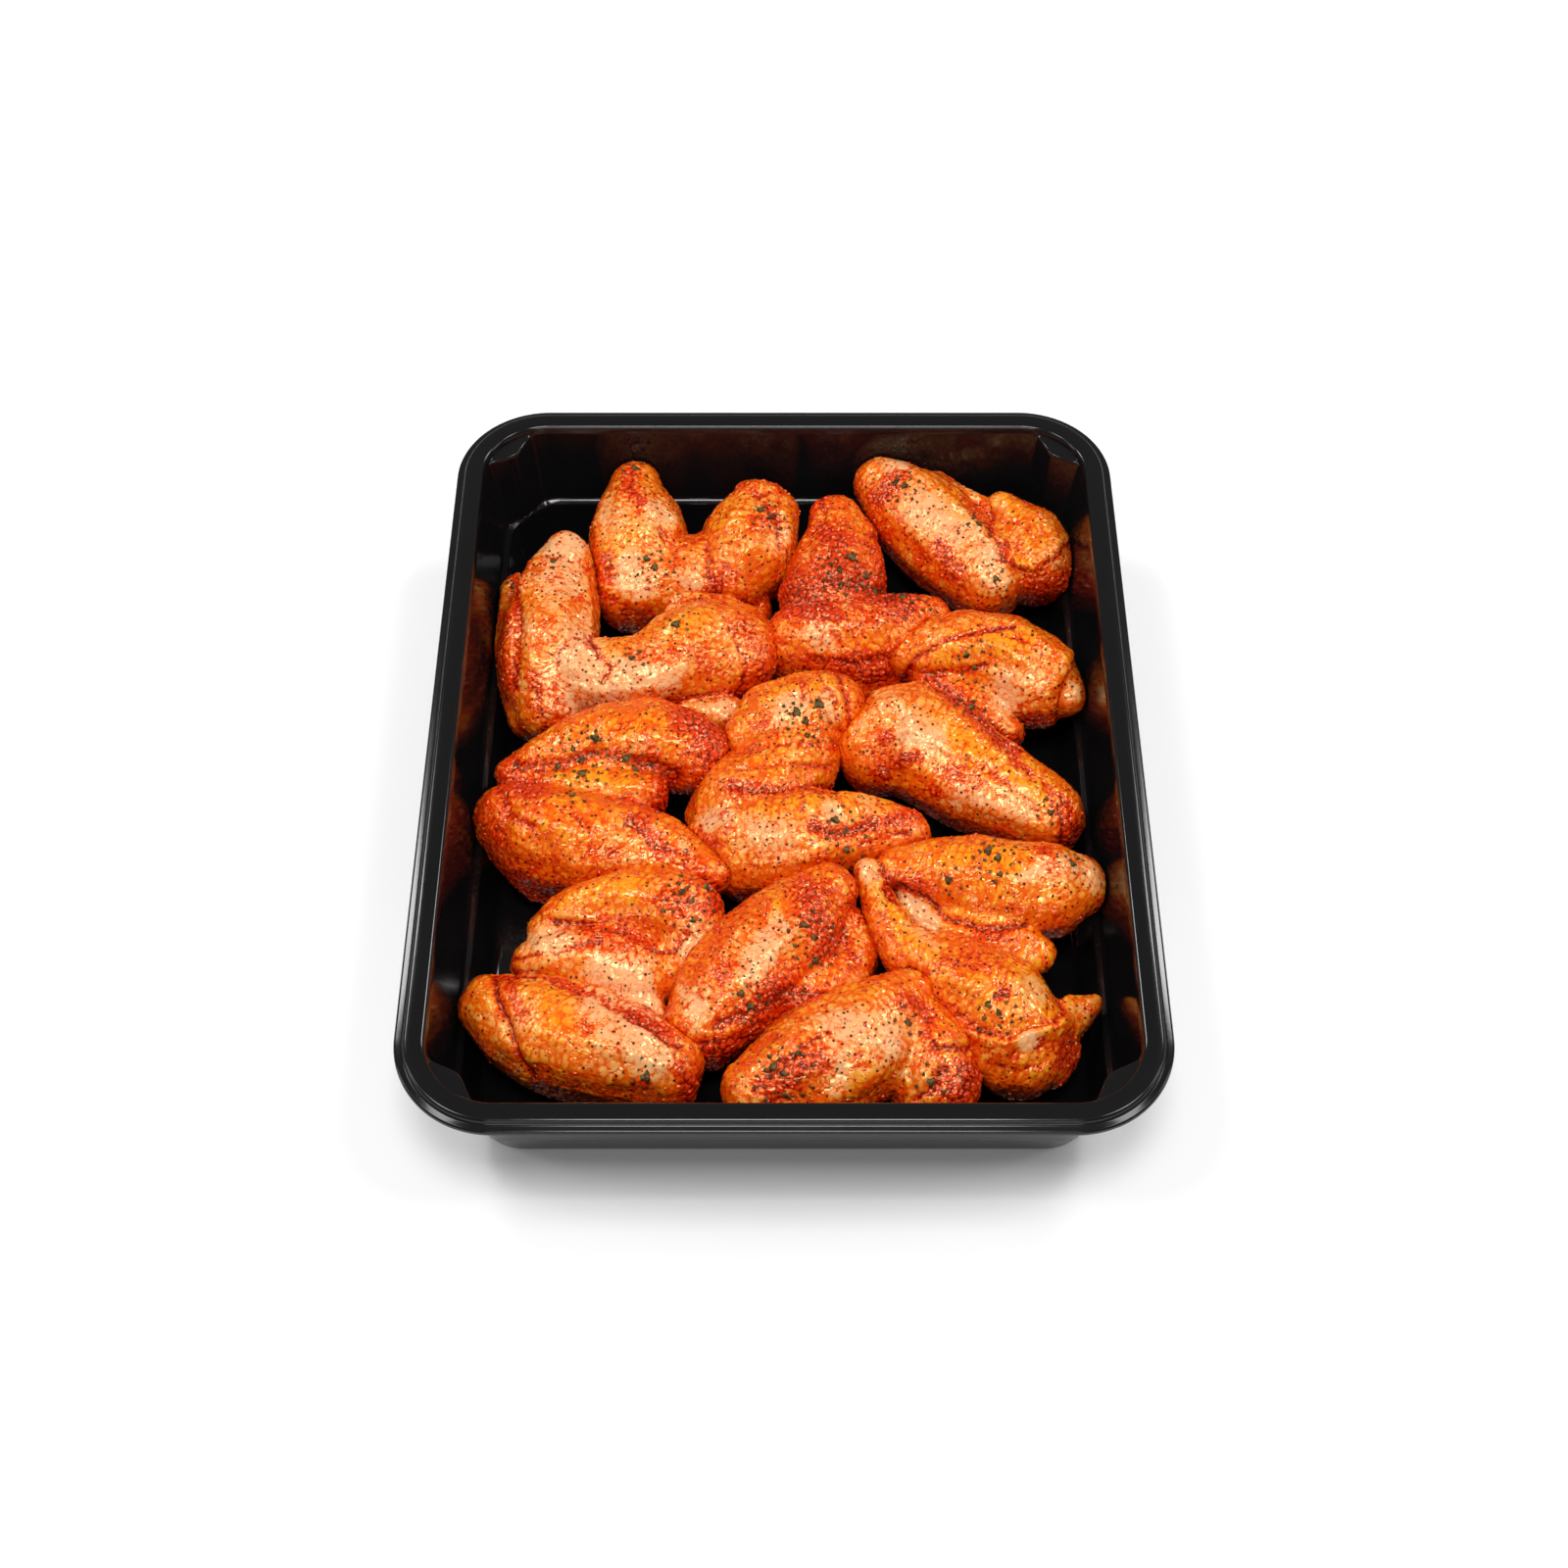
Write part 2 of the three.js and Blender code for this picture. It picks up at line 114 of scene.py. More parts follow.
# How each wing differs over its whole skin: the way its feather pits run, in degrees from +X,
# and how far it leans towards pale skin, yellow oil or red marinade
WING_MOODS = {
    "wing_front_left": {"grain": -30, "pale": 0.10, "oil": 0.10, "red": 0.00},
    "wing_front_right": {"grain": 30, "pale": 0.05, "oil": 0.10, "red": 0.05},
    "wing_right_front": {"grain": -25, "pale": 0.02, "oil": 0.22, "red": 0.00},
    "wing_front_middle": {"grain": 50, "pale": 0.00, "oil": 0.08, "red": 0.16},
    "wing_left_middle": {"grain": -35, "pale": -0.10, "oil": 0.18, "red": 0.08},
    "wing_middle": {"grain": 10, "pale": 0.04, "oil": 0.12, "red": 0.00},
    "wing_right": {"grain": -25, "pale": 0.10, "oil": 0.12, "red": 0.00},
    "wing_left": {"grain": 70, "pale": 0.22, "oil": 0.06, "red": -0.06},
    "wing_back_middle": {"grain": 60, "pale": -0.02, "oil": 0.06, "red": 0.22},
    "wing_back_left": {"grain": 75, "pale": 0.12, "oil": 0.12, "red": -0.02},
    "wing_back_right": {"grain": -50, "pale": 0.16, "oil": 0.08, "red": 0.00},
}


# How strongly each kind of mark is laid on, for all wings alike
CREASE_DEPTH = 0.7
CREASE_RED = 0.8
STAIN_WIDTH = 1.15
BARE_WIDTH = 1.35


def mark(kind, points, width, lift=0.0, red=0.0, pale=0.0, oil=0.0):
    """One feature of the skin: a line or spot over the photo's pixels, with what it does there.
    Width is in pixels and lift in millimetres."""
    return {
        "kind": kind,
        "points": points,
        "width": width,
        "lift": lift,
        "red": red,
        "pale": pale,
        "oil": oil,
    }


def dab(*points, width, lift=0.0, red=0.0, pale=0.0, oil=0.0):
    """A line or spot that does several things at once."""
    return mark("line", points, width, lift, red, pale, oil)


def crease(*points, width=6, depth=1.6, red=0.5):
    """A narrow valley where marinade has pooled."""
    return dab(*points, width=width, lift=-CREASE_DEPTH * depth, red=CREASE_RED * red)


def ridge(*points, width=9, height=1.2, oil=0.3, red=0.0):
    """A rounded fold that stands up and catches the light."""
    return dab(*points, width=width, lift=height, oil=oil, red=red)


def flap(*points, width=16, height=1.8, red=0.25):
    """The edge of a fold of skin: it stands up to the left of the line and drops at it."""
    return mark("edge", points, width, lift=height, red=red)


def stain(*points, width=12, red=0.7):
    """A patch of red marinade."""
    return dab(*points, width=width * STAIN_WIDTH, red=red)


def bare(*points, width=12, pale=0.8):
    """A patch of pale skin with little marinade on it."""
    return dab(*points, width=width * BARE_WIDTH, pale=pale)


def golden(*points, width=14, oil=0.6):
    """A patch of yellow oil."""
    return dab(*points, width=width, oil=oil)


WING_MARKS = {
    "wing_front_left": (
        ridge((565, 926), (600, 912), (650, 902), width=13, height=0.8, oil=0.7),
        ridge((560, 934), (592, 937), (625, 938), (650, 948), width=6, height=0.9, red=0.45),
        crease((568, 943), (600, 947), (640, 952), (668, 968), width=6, depth=2.0, red=0.55),
        bare((535, 960), (572, 958), width=13, pale=0.7),
        crease((515, 981), (550, 976), (585, 966), (610, 962), width=5, depth=1.3, red=0.4),
        stain((600, 958), (640, 966), width=12, red=0.6),
        bare((615, 985), (645, 1000), (662, 1030), width=15, pale=0.9),
        crease((505, 992), (560, 999), (610, 1018), (650, 1040), (690, 1068), width=6, depth=2.0, red=0.75),
        stain((652, 1036), (676, 1052), width=9, red=0.8),
        stain((685, 920), (715, 925), (728, 905), width=17, red=0.75),
        crease((662, 968), (685, 972), (702, 952), width=6, depth=1.8, red=0.8),
        bare((712, 945), (706, 968), width=10, pale=0.5),
        crease((504, 1000), (512, 1030), (530, 1078), (552, 1116), width=5, depth=2.2, red=0.5),
        bare((505, 1078), (530, 1108), width=10, pale=0.8),
        bare((608, 1030), (640, 1055), (665, 1080), width=19, pale=0.85),
        bare((540, 996), width=7, pale=0.9),
        golden((555, 1015), (575, 1040), width=20, oil=0.5),
        stain((597, 1050), width=8, red=0.8),
        dab((635, 1071), width=4, lift=0.8, red=1.0),
        dab((656, 1101), width=6, lift=1.0, red=1.0),
        stain((520, 1005), (535, 1040), width=10, red=0.5),
        stain((690, 1090), (705, 1115), width=12, red=0.7),
    ),
    "wing_front_right": (
        bare((860, 1052), (885, 1045), (905, 1070), width=20, pale=0.8),
        stain((790, 1112), (815, 1090), (835, 1085), width=14, red=0.9),
        crease((770, 1110), (805, 1080), (845, 1055), width=5, depth=0.9, red=0.6),
        golden((880, 1100), (905, 1105), width=16, oil=0.7),
        bare((850, 1110), (862, 1095), width=10, pale=0.6),
        stain((920, 1020), (948, 1032), width=10, red=0.6),
        stain((945, 1045), (950, 1075), width=9, red=0.55),
        crease((962, 1090), (952, 1108), (936, 1118), width=6, depth=2.0, red=0.9),
        ridge((980, 1098), (975, 1118), width=8, height=1.2, red=0.8),
        stain((975, 1110), (985, 1095), width=16, red=0.9),
        crease((955, 1068), (985, 1070), width=5, depth=1.3, red=0.6),
        dab((873, 1085), width=4, lift=0.7, red=1.0),
        ridge((870, 1010), (905, 1000), width=10, height=0.6, oil=0.5),
    ),
    "wing_right_front": (
        golden((950, 875), (1000, 868), (1035, 870), width=16, oil=0.7),
        bare((1045, 895), (1065, 890), width=9, pale=0.7),
        bare((1090, 882), (1112, 895), width=14, pale=0.7),
        stain((1060, 870), (1075, 890), width=8, red=0.5),
        crease((915, 905), (945, 915), (965, 935), (1000, 948), (1045, 945), width=5, depth=2.4, red=0.75),
        dab((917, 912), (935, 925), (948, 940), width=9, lift=-0.6, pale=1.1),
        ridge((905, 896), (930, 898), (950, 908), width=7, height=1.0, red=0.5),
        bare((880, 880), (888, 892), width=9, pale=0.9),
        crease((899, 885), (903, 905), (915, 925), width=4, depth=1.8, red=0.8),
        ridge((892, 905), (903, 925), (918, 935), width=8, height=1.0, oil=0.3),
        bare((925, 945), (950, 960), width=11, pale=0.6),
        ridge((915, 950), (960, 985), (1000, 1010), width=14, height=0.5, oil=0.5),
        stain((960, 985), (1010, 985), width=9, red=0.45),
        bare((1050, 1003), (1062, 1015), width=13, pale=0.8),
        golden((1030, 990), (1070, 1000), width=18, oil=0.6),
        dab((1018, 1015), (1024, 1012), width=7, lift=-0.6, red=1.1),
        flap((1088, 1018), (1078, 1043), (1050, 1052), (1025, 1062), (1000, 1052), (972, 1028), width=15,
             height=1.7, red=0.35),
        dab((1045, 1062), (1052, 1058), width=9, red=-0.4, pale=0.9),
        dab((1062, 1062), width=8, lift=-0.6, red=0.8, pale=0.3),
        stain((1005, 1070), (1030, 1075), width=11, red=0.4),
        bare((1105, 1030), (1110, 1050), width=14, pale=0.6),
        stain((1085, 1065), (1095, 1085), width=10, red=0.6),
        crease((1010, 1085), (1040, 1093), (1062, 1085), width=4, depth=0.8, red=0.3),
        crease((900, 935), (930, 990), width=5, depth=0.7, red=0.3),
        stain((910, 898), (918, 905), width=8, red=0.7),
        stain((985, 960), (1030, 955), width=9, red=0.6),
    ),
    "wing_front_middle": (
        bare((795, 945), (778, 975), (765, 995), width=12, pale=0.95),
        golden((840, 905), (855, 925), width=12, oil=0.6),
        ridge((800, 908), (840, 895), (862, 905), width=12, height=0.6, oil=0.5),
        stain((825, 915), (835, 940), (845, 965), width=14, red=0.9),
        stain((800, 1010), (765, 1035), width=15, red=0.95),
        crease((735, 1045), (770, 1028), (800, 1012), (840, 1015), (858, 1030), width=7, depth=1.7, red=0.8),
        ridge((780, 1008), (810, 1020), (850, 1030), width=8, height=1.0, red=0.7),
        stain((740, 985), (735, 1000), width=9, red=0.6),
        bare((700, 1010), (712, 1030), width=11, pale=0.85),
        dab((718, 1018), width=3.5, lift=0.7, red=1.2),
        bare((785, 1055), (800, 1062), width=14, pale=0.9),
        bare((870, 1010), (882, 1000), width=9, pale=0.6),
        stain((870, 905), (875, 935), width=9, red=0.5),
        stain((725, 1070), (745, 1080), width=12, red=0.6),
        crease((715, 1060), (740, 1062), (765, 1055), width=4, depth=0.8, red=0.5),
        golden((760, 930), (790, 920), width=12, oil=0.5),
        crease((860, 950), (872, 985), width=6, depth=0.8, red=0.3),
    ),
    "wing_left_middle": (
        golden((620, 745), (660, 735), (690, 745), width=19, oil=0.8),
        stain((705, 735), (722, 750), (728, 775), width=19, red=1.0),
        stain((640, 745), (665, 765), width=9, red=0.4),
        bare((645, 758), (665, 768), width=10, pale=0.5),
        crease((525, 783), (570, 780), (605, 770), (640, 772), (690, 790), width=7, depth=2.6, red=0.7),
        ridge((560, 794), (600, 796), (640, 800), (668, 800), width=9, height=1.2, oil=0.9),
        bare((585, 800), (620, 804), width=8, pale=0.7),
        stain((670, 805), (680, 815), width=12, red=0.7),
        crease((620, 815), (650, 818), (680, 828), width=5, depth=1.2, red=0.6),
        stain((525, 795), (545, 805), width=14, red=0.85),
        crease((510, 805), (520, 830), (545, 845), width=6, depth=1.2, red=0.5),
        stain((500, 830), (510, 850), width=14, red=0.4),
        crease((575, 830), (615, 850), (640, 845), width=5, depth=0.7, red=0.3),
        stain((605, 868), (630, 872), width=6, red=0.7),
        stain((645, 838), (665, 855), (678, 870), width=8, red=0.8),
        crease((640, 838), (665, 862), (700, 870), width=5, depth=1.0, red=0.4),
        bare((610, 895), (640, 885), width=16, pale=0.4),
        bare((697, 860), width=8, pale=0.7),
        golden((640, 825), (660, 835), width=9, oil=0.7),
        golden((570, 815), (600, 820), width=14, oil=0.5),
        stain((705, 885), (722, 900), width=12, red=0.6),
        stain((520, 900), (560, 915), width=14, red=0.6),
    ),
    "wing_middle": (
        bare((800, 722), (812, 715), width=11, pale=0.9),
        ridge((790, 705), (820, 695), (835, 700), width=14, height=0.5, oil=0.7),
        flap((842, 700), (855, 720), (860, 748), width=14, height=1.3, red=0.25),
        bare((843, 712), (847, 735), width=7, pale=0.8),
        crease((853, 690), (866, 715), (868, 745), width=5, depth=1.4, red=0.6),
        stain((818, 698), (818, 712), width=5, red=0.7),
        stain((780, 740), (790, 745), width=9, red=0.5),
        crease((745, 770), (780, 762), (815, 760), (850, 762), width=5, depth=1.2, red=0.35),
        crease((755, 785), (800, 782), (840, 780), width=4, depth=0.9, red=0.3),
        crease((748, 803), (785, 806), (830, 803), (850, 806), width=6, depth=1.9, red=0.8),
        stain((745, 806), (775, 806), width=9, red=0.8),
        bare((722, 843), (735, 835), width=10, pale=1.1),
        dab((737, 834), width=4, lift=0.7, red=1.3),
        dab((743, 845), width=4, lift=0.7, red=1.3),
        stain((712, 855), (730, 860), width=8, red=0.6),
        bare((780, 850), (800, 870), width=19, pale=0.6),
        bare((845, 824), (850, 830), width=8, pale=0.9),
        bare((880, 818), (895, 822), width=9, pale=0.8),
        dab((832, 842), (850, 848), (868, 850), (890, 842), width=8, lift=-1.9, red=1.1),
        ridge((815, 815), (850, 812), (900, 822), (925, 832), width=10, height=0.8, oil=0.6),
        stain((905, 840), (930, 835), width=10, red=0.8),
        bare((912, 855), (922, 850), width=8, pale=0.7),
        crease((818, 810), (819, 828), width=3, depth=0.7, red=0.6),
        golden((830, 812), (780, 822), width=12, oil=0.5),
        crease((880, 862), (905, 852), (925, 850), width=4, depth=0.9, red=0.5),
    ),
    "wing_right": (
        crease((922, 692), (936, 672), (970, 654), (1005, 646), (1035, 640), width=4, depth=1.4, red=0.6),
        ridge((945, 678), (975, 664), (1010, 656), (1050, 655), width=12, height=0.7, oil=0.8),
        crease((945, 690), (965, 684), (990, 682), (1005, 680), width=5, depth=1.4, red=0.6),
        crease((1000, 640), (1040, 655), (1065, 668), width=4, depth=0.8, red=0.6),
        bare((1020, 702), (1035, 720), width=13, pale=0.9),
        stain((950, 692), (978, 712), (1005, 740), (1030, 760), width=11, red=0.75),
        crease((960, 700), (985, 722), (1015, 748), (1040, 765), width=7, depth=2.2, red=0.6),
        flap((1073, 730), (1076, 708), (1086, 690), (1095, 668), width=14, height=1.6, red=0.3),
        bare((1098, 690), (1096, 715), width=10, pale=0.4),
        bare((928, 750), (942, 744), (950, 755), width=12, pale=1.1),
        dab((903, 755), (909, 753), width=5, lift=0.9, red=1.6, oil=0.2),
        dab((920, 775), (935, 771), width=6, lift=0.9, red=1.6, oil=0.2),
        dab((895, 785), (903, 790), width=6, lift=0.7, red=1.3),
        stain((890, 765), (905, 772), width=9, red=0.5),
        ridge((945, 742), (985, 755), (1030, 782), (1065, 812), width=13, height=0.8, oil=0.8),
        stain((972, 792), (992, 800), width=12, red=0.7),
        dab((957, 806), width=5, lift=0.5, red=1.1),
        bare((975, 815), (1010, 825), (1040, 835), width=14, pale=0.75),
        crease((990, 775), (1030, 800), (1060, 832), width=5, depth=0.8, red=0.35),
        bare((1045, 805), (1060, 815), width=10, pale=0.5),
        stain((1085, 830), (1095, 850), width=11, red=0.75),
        crease((1072, 815), (1084, 838), (1082, 860), width=4, depth=1.3, red=0.6),
        bare((900, 715), (925, 725), width=11, pale=0.4),
        golden((985, 770), (1010, 785), width=12, oil=0.6),
        stain((1050, 735), (1062, 742), width=9, red=0.6),
        crease((1015, 760), (1050, 790), (1090, 820), width=5, depth=1.2, red=0.5),
    ),
    "wing_left": (
        bare((565, 557), (580, 555), width=14, pale=0.8),
        bare((600, 630), (585, 600), width=24, pale=0.4),
        crease((540, 585), (560, 570), (590, 572), (597, 580), width=4, depth=0.9, red=0.4),
        stain((565, 590), width=7, red=0.7),
        stain((590, 612), width=6, red=0.6),
        stain((560, 640), (545, 660), width=8, red=0.4),
        dab((592, 663), (585, 672), width=14, lift=1.6, pale=1.2),
        crease((572, 678), (572, 665), (585, 652), (602, 650), width=4, depth=1.1, red=0.6),
        dab((597, 664), width=5, lift=0.8, red=1.6),
        crease((603, 655), (610, 672), (625, 682), (615, 695), width=5, depth=1.4, red=0.75),
        bare((600, 695), (615, 715), (590, 715), width=20, pale=0.9),
        bare((650, 690), (680, 700), width=17, pale=0.75),
        ridge((620, 668), (650, 645), (690, 630), (720, 628), width=15, height=0.6, oil=0.4),
        stain((650, 668), (700, 665), (725, 675), width=12, red=0.4),
        stain((555, 695), (570, 720), width=15, red=0.55),
        crease((545, 690), (548, 720), (560, 745), width=6, depth=0.9, red=0.4),
        crease((524, 600), (530, 640), (526, 700), width=5, depth=1.6, red=0.7),
        dab((525, 580), (530, 600), width=8, lift=1.0, red=0.8),
        dab((520, 630), (515, 660), (520, 700), width=8, lift=0.8, red=0.6),
        dab((680, 608), (700, 602), (720, 600), width=7, lift=0.8, red=0.9),
        crease((682, 618), (705, 615), (740, 612), width=4, depth=1.2, red=0.5),
        stain((760, 640), (775, 665), (770, 690), width=13, red=0.65),
        crease((745, 640), (757, 670), (755, 700), width=4, depth=1.0, red=0.5),
        bare((790, 700), (735, 725), width=10, pale=0.4),
        crease((680, 716), (720, 712), (752, 706), width=5, depth=1.5, red=0.7),
    ),
    "wing_back_middle": (
        stain((845, 545), (855, 555), width=10, red=0.9),
        golden((845, 530), (870, 535), width=12, oil=0.4),
        dab((826, 520), (832, 512), width=8, lift=0.8, red=0.5),
        crease((838, 512), (842, 530), (830, 545), width=4, depth=1.0, red=0.4),
        stain((850, 580), (885, 600), (920, 612), width=15, red=0.9),
        crease((845, 590), (880, 598), (905, 610), width=7, depth=2.0, red=0.8),
        bare((825, 575), (822, 555), width=8, pale=0.6),
        bare((862, 618), (880, 620), width=7, pale=0.6),
        stain((815, 610), (835, 615), width=18, red=1.2),
        bare((835, 648), (845, 650), width=10, pale=1.0),
        golden((875, 658), (905, 652), width=12, oil=0.9),
        ridge((850, 640), (880, 628), (920, 622), width=10, height=0.8, oil=0.3, red=0.3),
        stain((900, 550), (905, 570), width=10, red=0.7),
        crease((888, 545), (905, 560), (908, 585), width=5, depth=1.5, red=0.6),
        bare((885, 592), width=6, pale=0.6),
        stain((960, 612), (945, 605), width=9, red=0.3),
        stain((860, 680), (900, 690), width=14, red=0.5),
        crease((830, 670), (870, 678), (910, 672), width=5, depth=1.2, red=0.6),
    ),
    "wing_back_left": (
        dab((645, 480), (640, 500), (655, 515), width=8, lift=0.3, red=0.9),
        bare((615, 510), (620, 530), width=12, pale=0.7),
        bare((670, 520), (680, 530), width=13, pale=0.6),
        golden((640, 560), (625, 565), width=16, oil=0.7),
        bare((645, 565), (640, 575), width=8, pale=0.8),
        bare((640, 592), (655, 600), width=13, pale=1.0),
        stain((615, 575), (620, 590), width=10, red=0.6),
        crease((675, 545), (690, 560), (720, 550), width=7, depth=1.4, red=0.5),
        stain((690, 575), (665, 585), width=10, red=0.35),
        crease((605, 600), (635, 620), (640, 650), width=5, depth=1.0, red=0.5),
        bare((630, 635), width=9, pale=0.5),
        crease((775, 510), (792, 530), (795, 560), width=5, depth=1.3, red=0.5),
        bare((800, 545), (805, 570), width=10, pale=0.7),
        stain((728, 595), (740, 585), width=11, red=0.85),
        stain((770, 535), (785, 525), width=9, red=0.6),
        dab((755, 500), (770, 497), width=7, lift=0.8, red=0.6),
        dab((792, 500), width=7, lift=0.8, red=0.6),
        crease((770, 505), (782, 506), width=4, depth=1.2, red=0.5),
        golden((745, 540), (735, 555), width=13, oil=0.5),
        bare((700, 590), (710, 600), width=10, pale=0.5),
        crease((722, 560), (725, 590), (740, 615), width=5, depth=1.3, red=0.5),
        stain((760, 615), (775, 620), width=9, red=0.6),
    ),
    "wing_back_right": (
        stain((918, 488), (908, 500), (895, 508), width=9, red=0.95),
        bare((912, 478), (918, 475), width=9, pale=0.9),
        bare((945, 520), (975, 540), width=16, pale=0.8),
        golden((955, 510), (980, 530), width=12, oil=0.5),
        crease((905, 505), (925, 540), (945, 575), width=5, depth=0.6, red=0.3),
        stain((960, 560), (970, 575), (975, 585), width=10, red=0.9),
        bare((1010, 570), (1020, 595), width=13, pale=0.7),
        crease((985, 510), (1005, 530), (1018, 545), (1022, 570), width=6, depth=1.8, red=0.5),
        bare((925, 580), (960, 605), width=14, pale=0.4),
        stain((895, 535), (900, 545), width=9, red=0.4),
        golden((1035, 530), (1050, 545), width=14, oil=0.8),
        ridge((1018, 545), (1030, 568), (1055, 578), width=8, height=1.2, oil=0.3),
        flap((1020, 560), (1030, 575), (1055, 582), (1075, 565), (1088, 552), width=13, height=1.5, red=0.4),
        stain((1060, 600), (1080, 590), width=18, red=0.55),
        bare((1050, 615), (1058, 618), width=8, pale=0.3),
        ridge((1012, 505), (1030, 512), width=8, height=0.8, oil=0.4),
        crease((1000, 515), (1012, 528), (1010, 545), width=5, depth=1.6, red=0.6),
    ),
}

# Clusters of herb flakes: the pixel of each one's middle, and how many flakes it has
HERB_CLUSTERS = {
    "wing_front_left": (((706, 920), 4), ((659, 1099), 1)),
    "wing_front_right": (((800, 1095), 4), ((926, 1043), 1), ((950, 1104), 1)),
    "wing_right_front": (((1018, 876), 3), ((968, 898), 1), ((1094, 881), 1), ((1019, 1033), 2)),
    "wing_front_middle": (((830, 957), 3), ((766, 1028), 2)),
    "wing_left_middle": (((594, 776), 5), ((648, 785), 2), ((584, 812), 1)),
    "wing_middle": (((822, 736), 4), ((862, 849), 3)),
    "wing_right": (((995, 681), 2), ((990, 722), 2), ((1072, 829), 1)),
    "wing_left": (((690, 637), 1), ((645, 672), 1), ((564, 573), 1), ((524, 598), 1)),
    "wing_back_middle": (((857, 582), 4), ((892, 603), 2), ((930, 615), 2)),
    "wing_back_left": (((668, 579), 2), ((648, 478), 1), ((785, 528), 2)),
    "wing_back_right": (((923, 496), 2), ((999, 535), 1), ((1016, 591), 1)),
}


class TraySizes(bpy.types.PropertyGroup):
    """Sizes and finish of the tray."""

    width: bpy.props.FloatProperty(
        name="Width", description="Across the rim", default=0.262, unit="LENGTH"
    )
    length: bpy.props.FloatProperty(
        name="Length", description="Along the rim", default=0.3276, unit="LENGTH"
    )
    corner_steps: bpy.props.IntProperty(
        name="Corner steps", description="Points round each corner", default=30, min=8
    )
    lug_depth: bpy.props.FloatProperty(
        name="Lug depth",
        description="How far each corner ledge reaches in",
        default=0.0062,
        unit="LENGTH",
    )
    flute_depth: bpy.props.FloatProperty(
        name="Flute depth",
        description="Depth of the grooves down each corner pillar",
        default=0.0014,
        unit="LENGTH",
    )
    plastic: bpy.props.FloatVectorProperty(
        name="Plastic",
        description="Colour of the tray",
        size=3,
        subtype="COLOR",
        default=(0.004, 0.004, 0.0045),
    )


class SkinSizes(bpy.types.PropertyGroup):
    """Sizes of the forms in the wings' skin."""

    voxel: bpy.props.FloatProperty(
        name="Mesh size", description="Side of a face of the skin", default=0.00064, unit="LENGTH"
    )
    rounding: bpy.props.IntProperty(
        name="Rounding", description="Smoothing passes before the skin is shaped", default=80, min=0
    )
    plump: bpy.props.FloatProperty(
        name="Plumpness", description="What the smoothing took off", default=0.0006, unit="LENGTH"
    )
    lump: bpy.props.FloatProperty(
        name="Lumps", description="Height of the broad lumps of meat", default=0.0010, unit="LENGTH"
    )
    wrinkle: bpy.props.FloatProperty(
        name="Wrinkles", description="Height of the wrinkles", default=0.00030, unit="LENGTH"
    )
    follicle: bpy.props.FloatProperty(
        name="Feather pits",
        description="Height of the bumps between the feather pits",
        default=0.00017,
        unit="LENGTH",
    )
    granule: bpy.props.FloatProperty(
        name="Granules", description="Height of the grains of thick marinade", default=0.0009, unit="LENGTH"
    )
    follicle_gap: bpy.props.FloatProperty(
        name="Pit spacing", description="From one feather pit to the next", default=0.0031, unit="LENGTH"
    )


class SkinColours(bpy.types.PropertyGroup):
    """Colours of the skin and its marinade."""

    pale: bpy.props.FloatVectorProperty(
        name="Bare skin", description="Skin with little marinade", size=3, subtype="COLOR",
        default=(0.80, 0.41, 0.18),
    )
    oil: bpy.props.FloatVectorProperty(
        name="Yellow oil", description="Skin under clear oil", size=3, subtype="COLOR",
        default=(0.80, 0.29, 0.009),
    )
    orange: bpy.props.FloatVectorProperty(
        name="Marinade", description="Skin under the marinade", size=3, subtype="COLOR",
        default=(0.75, 0.105, 0.0025),
    )
    red: bpy.props.FloatVectorProperty(
        name="Paprika", description="Where the spice is thick", size=3, subtype="COLOR",
        default=(0.66, 0.028, 0.0010),
    )
    # Deep colour: pooled marinade, and also painted shade darkening the hollows and creases
    deep: bpy.props.FloatVectorProperty(
        name="Pooled marinade and painted shade", description="Deep in the folds", size=3, subtype="COLOR",
        default=(0.19, 0.005, 0.0005),
    )
    fleck: bpy.props.FloatVectorProperty(
        name="Spice flecks", description="Fine ground spice", size=3, subtype="COLOR",
        default=(0.030, 0.006, 0.002),
    )


class ToppingSizes(bpy.types.PropertyGroup):
    """Sizes, counts and colours of what is strewn over the wings."""

    herb_radius: bpy.props.FloatProperty(
        name="Herb flake", description="Half the width of a herb flake", default=0.0019, unit="LENGTH"
    )
    herb_spacing: bpy.props.FloatProperty(
        name="Herb spacing", description="Between flakes of a cluster", default=0.0046, unit="LENGTH"
    )
    crumb_count: bpy.props.IntProperty(
        name="Herb crumbs", description="Small crumbs round each flake", default=6, min=0
    )
    pepper_count: bpy.props.IntProperty(
        name="Pepper", description="Specks of pepper on each wing", default=300, min=0
    )
    pepper_radius: bpy.props.FloatProperty(
        name="Pepper size", description="Half the width of a speck", default=0.00034, unit="LENGTH"
    )
    bead_count: bpy.props.IntProperty(
        name="Beads", description="Beads of thick marinade on each wing", default=190, min=0
    )
    bead_radius: bpy.props.FloatProperty(
        name="Bead size", description="Half the width of a bead", default=0.00062, unit="LENGTH"
    )
    chili_count: bpy.props.IntProperty(
        name="Chili", description="Bits of chili on each wing", default=9, min=0
    )
    chili_radius: bpy.props.FloatProperty(
        name="Chili size", description="Half the length of a bit", default=0.00125, unit="LENGTH"
    )
    herb: bpy.props.FloatVectorProperty(
        name="Herb", description="Colour of the dried leaf", size=3, subtype="COLOR",
        default=(0.080, 0.050, 0.016),
    )
    pepper: bpy.props.FloatVectorProperty(
        name="Pepper colour", description="Colour of the specks", size=3, subtype="COLOR",
        default=(0.016, 0.007, 0.003),
    )
    chili: bpy.props.FloatVectorProperty(
        name="Chili colour", description="Colour of the chili bits", size=3, subtype="COLOR",
        default=(0.40, 0.022, 0.007),
    )


